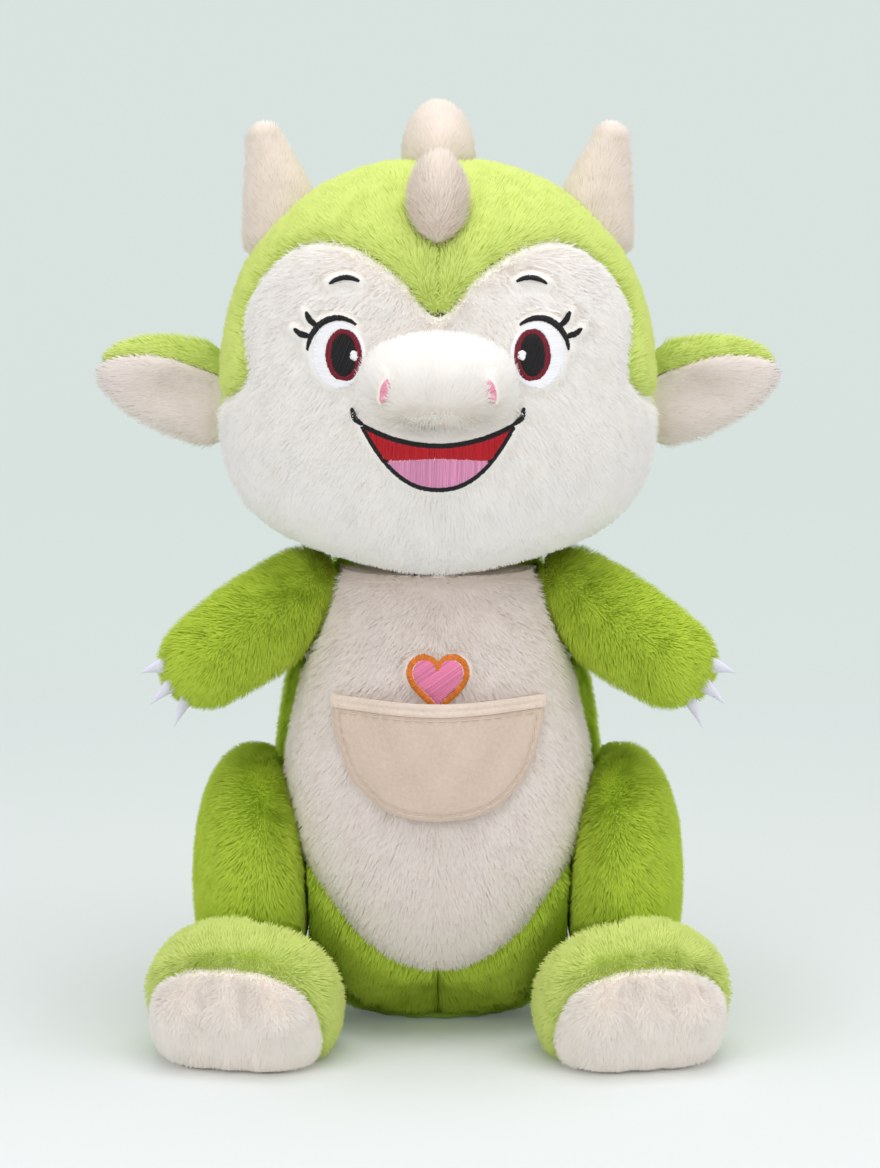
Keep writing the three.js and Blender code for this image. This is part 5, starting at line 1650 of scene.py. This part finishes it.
build_horns()
build_fins("head_fin", HEAD_FINS, HEAD_FORM, HEAD_SKIN, "head", 84)
build_fins("back_fin", BACK_FINS, TORSO_FORM, TORSO_SKIN, "torso", 88)


# The ears: stuffed leaves in two pieces, a green back that folds over the top edge and a cream lining
# that is a little hollow. Each swings on an upright seam at the side of the head.
EAR_LENGTH = 0.039
EAR_WIDEST = 0.14
EAR_TIP_LIFT = 0.008
EAR_FOLD = math.radians(38)
EAR_FOLD_LIFT = 0.003
EAR_FOLD_OUTWARD_SHARE = 0.12
EAR_HOLLOW = 0.0028
EAR_DIVISIONS = 44
EAR_CELL = 0.0009
EAR_FORM = {
    "centre": (0, 0, 0), "half_width": 0.0095, "front": EAR_LENGTH * (1 - EAR_WIDEST),
    "back": EAR_LENGTH * 0.3, "up": 0.017, "down": 0.017, "roundness": (1.9, 2, 2),
}
EAR_HOLLOW_PLACE = (0.015, 0, 0.001)
EAR_HOLLOW_SIZE = (0.013, 1, 0.0075)
EAR_HOLLOW_FADE = (0, 0.004)
EAR_SEAM_DEPTH = 0.0009
EAR_SEAM_WIDTH = 0.002
EAR_FADE = (0.001, 0.004)
EAR_COMB = (1, 0, 0.15)
EAR_LINING_PILE_LENGTH = 0.0032
EAR_BACK_PILE_LENGTH = PILE_LENGTH * 0.85
EAR_NECK_SHARE = 0.505


def ear_points(side, directions, proud):
    """A leaf that lies outwards, narrows at its seam and lifts toward its tip."""
    leaf = stuffed_points(EAR_FORM, directions, proud)
    out = -leaf[:, 1] + EAR_LENGTH * EAR_WIDEST
    share = np.clip(out / EAR_LENGTH, 0, 1)
    thick = EAR_NECK_SHARE + (1 - EAR_NECK_SHARE) * smooth_step(out / EAR_LENGTH, 0, 0.6)
    placed = np.column_stack((side * out, side * leaf[:, 0] * thick, leaf[:, 2] + EAR_TIP_LIFT * share))
    return placed + on_side(EAR_ROOT, side)


def build_ear(label, side):
    directions, faces = ball_grid(EAR_DIVISIONS)
    points = ear_points(side, directions, -CLOTH_SINK * 0.8)
    root = on_side(EAR_ROOT, side)
    facing = np.array((side * EAR_FOLD_OUTWARD_SHARE, -math.cos(EAR_FOLD), -math.sin(EAR_FOLD)))
    facing /= np.linalg.norm(facing)
    on_fold = root + (0, 0, EAR_FOLD_LIFT)

    def lining_inside(at):
        return (at - on_fold) @ facing

    inward = -normals_of(points, faces)
    hollow = (points - root - on_side(EAR_HOLLOW_PLACE, side)) / EAR_HOLLOW_SIZE
    near = np.exp(-hollow[:, 0] ** 2 - hollow[:, 2] ** 2)
    depth = EAR_HOLLOW * near * smooth_step(lining_inside(points), *EAR_HOLLOW_FADE)
    points = points + inward * depth[:, None]
    points = draw_in(points, inward, lining_inside(points), EAR_SEAM_DEPTH, EAR_SEAM_WIDTH)
    growth = smooth_step(side * (points[:, 0] - root[0]), *EAR_FADE)
    comb = np.broadcast_to(on_side(EAR_COMB, side), points.shape)
    facts = {"growth": growth, "comb": comb, "outward": -inward}
    skin = ((points, faces), facts, EAR_CELL, f"ear_{label}")
    parts = (
        ("ear_lining", lining_inside, SHADED_CREAM_PLUSH, "cream_plush", EAR_LINING_PILE_LENGTH),
        ("ear_back", lambda p: -lining_inside(p), GREEN_PLUSH, "green_plush", EAR_BACK_PILE_LENGTH),
    )
    for seed, (part, inside_at, look, slot_name, length) in enumerate(parts, 102 if side > 0 else 100):
        plush_panel(f"{part}_{label}", skin, inside_at, look, seed, length)


for ear_label, ear_side in SIDES:
    build_ear(ear_label, ear_side)


# The arms: short stuffed sleeves that swing in a dimple of the shoulder, each with three flat satin
# claws sewn into the end of its paw.
ARM_DIVISIONS = 44
ARM_FADE = (0.0006, 0.0026)
ARM_COMB = (0, 0.7, -0.3)
CLAW_LENGTH = 0.008
CLAW_SINK = 0.0015
CLAW_HALF_WIDTH = 0.0026
CLAW_HALF_THICKNESS = 0.0011
CLAW_FAN = math.radians(26)
CLAW_DROOP = 0.0018
CLAW_RINGS = 9
CLAW_STEPS = 14
CLAW_SATIN = woven_material("claw_satin_cloth", (226, 223, 240), 2200, 0.0001, 0.1, 0.36)


def build_arm(label, side):
    directions, faces = ball_grid(ARM_DIVISIONS)
    root, paw = on_side(ARM_ROOT, side), on_side(ARM_PAW, side)
    points = sleeve_points(root, paw, arm_radius, directions, -CLOTH_SINK)
    along = (paw - root) / np.linalg.norm(paw - root)
    inward = -normals_of(points, faces)
    under = np.abs((points - root) @ np.cross(along, (0, 0, 1)))
    lower = (points - root)[:, 2] < ((points - root) @ along) * along[2]
    points = draw_in(points, inward, np.where(lower, under, 1), SEAM_DEPTH / 2)
    growth = smooth_step(clearance(points, TORSO_SKIN), *ARM_FADE)
    closed_plush(
        f"arm_{label}", (points, faces), growth, along + ARM_COMB, f"arm_{label}", SHADED_LAID_GREEN_PLUSH,
        111 if side > 0 else 110,
    )
    level = np.cross(along, (0, 1, 0))
    level /= np.linalg.norm(level)
    for k in range(3):
        turn = (k - 1) * CLAW_FAN
        heading = along * math.cos(turn) + np.cross(np.cross(level, along), along) * math.sin(turn)
        build_claw(f"claw_{label}_{k + 1}", f"arm_{label}", paw, heading)


def ringed_faces(rings, steps):
    """The faces of a closed form made of rings of points, one more ring than spans."""
    faces = []
    for ring in range(rings):
        for k in range(steps):
            a, b = ring * steps + k, ring * steps + (k + 1) % steps
            faces.append((a, b, b + steps, a + steps))
    faces.append(tuple(range(steps))[::-1])
    faces.append(tuple(rings * steps + k for k in range(steps)))
    return faces


def build_claw(node, body, paw, heading):
    """A flat padded satin point with a seam along both edges."""
    low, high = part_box(node)
    middle = (np.array(low) + np.array(high)) / 2
    if (middle - paw) @ heading < 0:
        heading = -heading
    flat = np.cross(heading, (0, 0, 1))
    flat /= np.linalg.norm(flat)
    wide = np.cross(heading, flat)
    corners = []
    for ring in range(CLAW_RINGS + 1):
        share = ring / CLAW_RINGS
        size = (1 - share ** 1.7) * (0.86 + 0.14 * math.cos(share * 3))
        centre = paw + heading * (ARM_PAW_RADIUS - CLAW_SINK + (CLAW_LENGTH + CLAW_SINK) * share * 0.97)
        centre = centre - (0, 0, CLAW_DROOP * share ** 2)
        for k in range(CLAW_STEPS):
            turn = 2 * math.pi * k / CLAW_STEPS
            thick = CLAW_HALF_THICKNESS * size * math.sin(turn) * (1 - 0.35 * abs(math.cos(turn)) ** 3)
            corners.append(centre + flat * thick + wide * CLAW_HALF_WIDTH * size * math.cos(turn))
    faces = ringed_faces(CLAW_RINGS, CLAW_STEPS)
    piece = link_piece(f"{node}_satin", np.array(corners), faces, CLAW_SATIN)
    sew_on(piece, node, body)


for arm_label, arm_side in SIDES:
    build_arm(arm_label, arm_side)


# The legs: a full round haunch that turns in the torso's side, a foot sewn to its front, and a cream cap
# over three toes with two drawn-in creases between them. The feet lie flat on the floor.
FOOT_FORM = {
    "centre": (0, 0, 0.018), "half_width": 0.0285, "front": 0.021, "back": 0.036, "up": 0.024, "down": 0.024,
    "roundness": (2.4, 2.3, 2.6),
    "swells": [
        ((math.sin(math.radians(degrees)), -math.cos(math.radians(degrees)), 0), 0.0045 * size, 0.27)
        for degrees, size in ((-32, 1), (0, 0.6), (32, 1))
    ],
}
FOOT_SPREAD = 0.059
FOOT_DEPTH = 0.049
FOOT_SPLAY = math.radians(13)
TOE_CAP_POINT = np.array((0, -0.0205, 0.042))
TOE_CAP_LEAN = math.radians(28)
TOE_CAP_FACING = np.array((0, -math.cos(TOE_CAP_LEAN), -math.sin(TOE_CAP_LEAN)))
TOE_CREASE_TURN = math.radians(16)
TOE_CREASE_DEPTH = 0.0014
TOE_CREASE_WIDTH = 0.0034
TOE_PILE_LENGTH = 0.0024
FLOOR_GAP = 0.0006
FOOT_CLEARANCE = 0.0483
HAUNCH_DIVISIONS = 48
FOOT_DIVISIONS = 52
FOOT_CELL = 0.0011
HAUNCH_FADE = (0.0004, 0.003)
HAUNCH_FOOT_FADE = (-0.0002, 0.0018)
HAUNCH_COMB = (0.35, 0.2, -1)
TOE_COMB = (0, 0, -0.8)
TOE_COMB_BACK = 0.4
FOOT_COMB = (0, 0, -0.45)
FOOT_COMB_BACK = 0.6
FOOT_HAUNCH_FADE = (0.0002, 0.002)
FOOT_TORSO_FADE = (0.0005, 0.003)
FOOT_FLOOR_FADE = (FLOOR_GAP, 0.004)
TOE_CREASE_FADE = (0, 0.006)
HIP_PATH_FADE = (-0.06, -0.055)


def foot_world(points, side):
    turn = side * FOOT_SPLAY
    x = points[:, 0] * math.cos(turn) - points[:, 1] * math.sin(turn) + side * FOOT_SPREAD
    y = points[:, 0] * math.sin(turn) + points[:, 1] * math.cos(turn) - FOOT_DEPTH
    return np.column_stack((x, y, points[:, 2]))


def foot_local(points, side):
    turn = side * FOOT_SPLAY
    x, y = points[:, 0] - side * FOOT_SPREAD, points[:, 1] + FOOT_DEPTH
    return np.column_stack((
        x * math.cos(turn) + y * math.sin(turn), y * math.cos(turn) - x * math.sin(turn), points[:, 2],
    ))


def clear_of_hip(points):
    """The foot stays outside the round path that it swings along in front of the torso."""
    arm = points[:, 1:] - np.array(HIP[1:])
    reach = np.linalg.norm(arm, axis=1)
    near = HAUNCH_RADIUS * 0.97
    inner = near + (FOOT_CLEARANCE - near) * smooth_step(-np.abs(points[:, 0]), *HIP_PATH_FADE)
    moved = points.copy()
    moved[:, 1:] = np.array(HIP[1:]) + arm * (np.maximum(reach, inner) / np.maximum(reach, 1e-6))[:, None]
    return moved


def build_haunch(label, side):
    directions, faces = ball_grid(HAUNCH_DIVISIONS)
    points = haunch_points(side, directions, -CLOTH_SINK)
    growth = smooth_step(clearance(points, TORSO_SKIN), *HAUNCH_FADE) * smooth_step(points[:, 2], *FLOOR_FADE)
    foot = foot_world(stuffed_points(FOOT_FORM, directions), side)
    growth *= smooth_step(clearance(points, tree_of(foot, faces)), *HAUNCH_FOOT_FADE)
    closed_plush(
        f"haunch_{label}", (points, faces), growth, on_side(HAUNCH_COMB, side), f"leg_{label}",
        SHADED_LAID_GREEN_PLUSH, 121 if side > 0 else 120,
    )
    return tree_of(points, faces)


def foot_form(directions, faces):
    """The foot before it is placed, with its outward directions and how far it is inside the toe cap."""
    local = stuffed_points(FOOT_FORM, directions, -CLOTH_SINK)
    inward = -normals_of(local, faces)
    cap = (local - TOE_CAP_POINT) @ TOE_CAP_FACING
    heading = np.arctan2(local[:, 0], -local[:, 1])
    reach = np.hypot(local[:, 0], local[:, 1])
    for crease in (-TOE_CREASE_TURN, TOE_CREASE_TURN):
        beside = (heading - crease) * reach / TOE_CREASE_WIDTH
        depth = TOE_CREASE_DEPTH * smooth_step(cap, *TOE_CREASE_FADE) * np.exp(-beside ** 2)
        local = local + inward * depth[:, None]
    return draw_in(local, inward, cap), -inward, cap


def build_foot(label, side, haunch):
    directions, faces = ball_grid(FOOT_DIVISIONS)
    local, outward, cap = foot_form(directions, faces)

    def cap_inside(at):
        return (foot_local(at, side) - TOE_CAP_POINT) @ TOE_CAP_FACING

    origin = foot_world(np.zeros((1, 3)), side)
    normals = foot_world(outward, side) - origin
    ahead = (foot_world(np.array(((0, -1, 0),)), side) - origin)[0]
    points = foot_world(local, side)
    hidden = smooth_step(clearance(points, haunch), *FOOT_HAUNCH_FADE)
    points = lift_out(clear_of_hip(points), haunch, SEAM_GAP)
    points[:, 2] = np.maximum(points[:, 2], FLOOR_GAP)
    growth = hidden * smooth_step(points[:, 2], *FOOT_FLOOR_FADE)
    growth *= smooth_step(clearance(points, TORSO_SKIN), *FOOT_TORSO_FADE)
    toe_comb, foot_comb = TOE_COMB - ahead * TOE_COMB_BACK, FOOT_COMB - ahead * FOOT_COMB_BACK
    comb = np.where(cap[:, None] > 0, toe_comb, foot_comb)
    facts = {"growth": growth, "comb": comb, "outward": normals}
    skin = ((points, faces), facts, FOOT_CELL, f"leg_{label}")
    parts = (
        ("toe_cap", cap_inside, CREAM_PLUSH, "cream_plush", TOE_PILE_LENGTH),
        ("foot", lambda p: -cap_inside(p), GREEN_PLUSH, "green_plush", PILE_LENGTH),
    )
    for seed, (part, inside_at, look, slot_name, length) in enumerate(parts, 132 if side > 0 else 130):
        plush_panel(f"{part}_{label}", skin, inside_at, look, seed, length)


for leg_label, leg_side in SIDES:
    build_foot(leg_label, leg_side, build_haunch(leg_label, leg_side))


# The tail: a plain green taper along the floor behind the seat, with the last two fins of the crest on
# its upper seam. Where it meets the torso, it has no pile.
TAIL_DIVISIONS = 44
TAIL_FIN_DIVISIONS = 16
TAIL_FADE = (0.0006, 0.0026)
TAIL_COMB = (0, 1, -0.3)
TAIL_RIDGE_HEIGHT = 0.01


def build_tail():
    directions, faces = ball_grid(TAIL_DIVISIONS)
    points = sleeve_points(TAIL_ROOT, TAIL_TIP, tail_radius, directions, -CLOTH_SINK)
    inward = -normals_of(points, faces)
    ridge = np.where(points[:, 2] > TAIL_RIDGE_HEIGHT, np.abs(points[:, 0]), 1)
    points = draw_in(points, inward, ridge, SEAM_DEPTH / 2)
    points[:, 2] = np.maximum(points[:, 2], FLOOR_GAP)
    growth = smooth_step(clearance(points, TORSO_SKIN), *TAIL_FADE)
    growth *= smooth_step(points[:, 2], *FOOT_FLOOR_FADE)
    closed_plush("tail", (points, faces), growth, TAIL_COMB, "tail", SHADED_LAID_GREEN_PLUSH, 140)
    skin = tree_of(points, faces)
    start, end = np.array(TAIL_ROOT), np.array(TAIL_TIP)
    along = (end - start) / np.linalg.norm(end - start)
    fin_directions, fin_faces = ball_grid(TAIL_FIN_DIVISIONS)
    for k, (share, size) in enumerate(TAIL_FINS):
        foot = start + (end - start) * share + (0, 0, tail_radius(share))
        leaf = fin_points(foot, along, size, fin_directions, -CLOTH_SINK / 2)
        up = np.cross((1, 0, 0), along) + along / 2
        standing_piece(f"tail_fin_{k + 1}", leaf, fin_faces, skin, "tail", 142 + k, up)


build_tail()
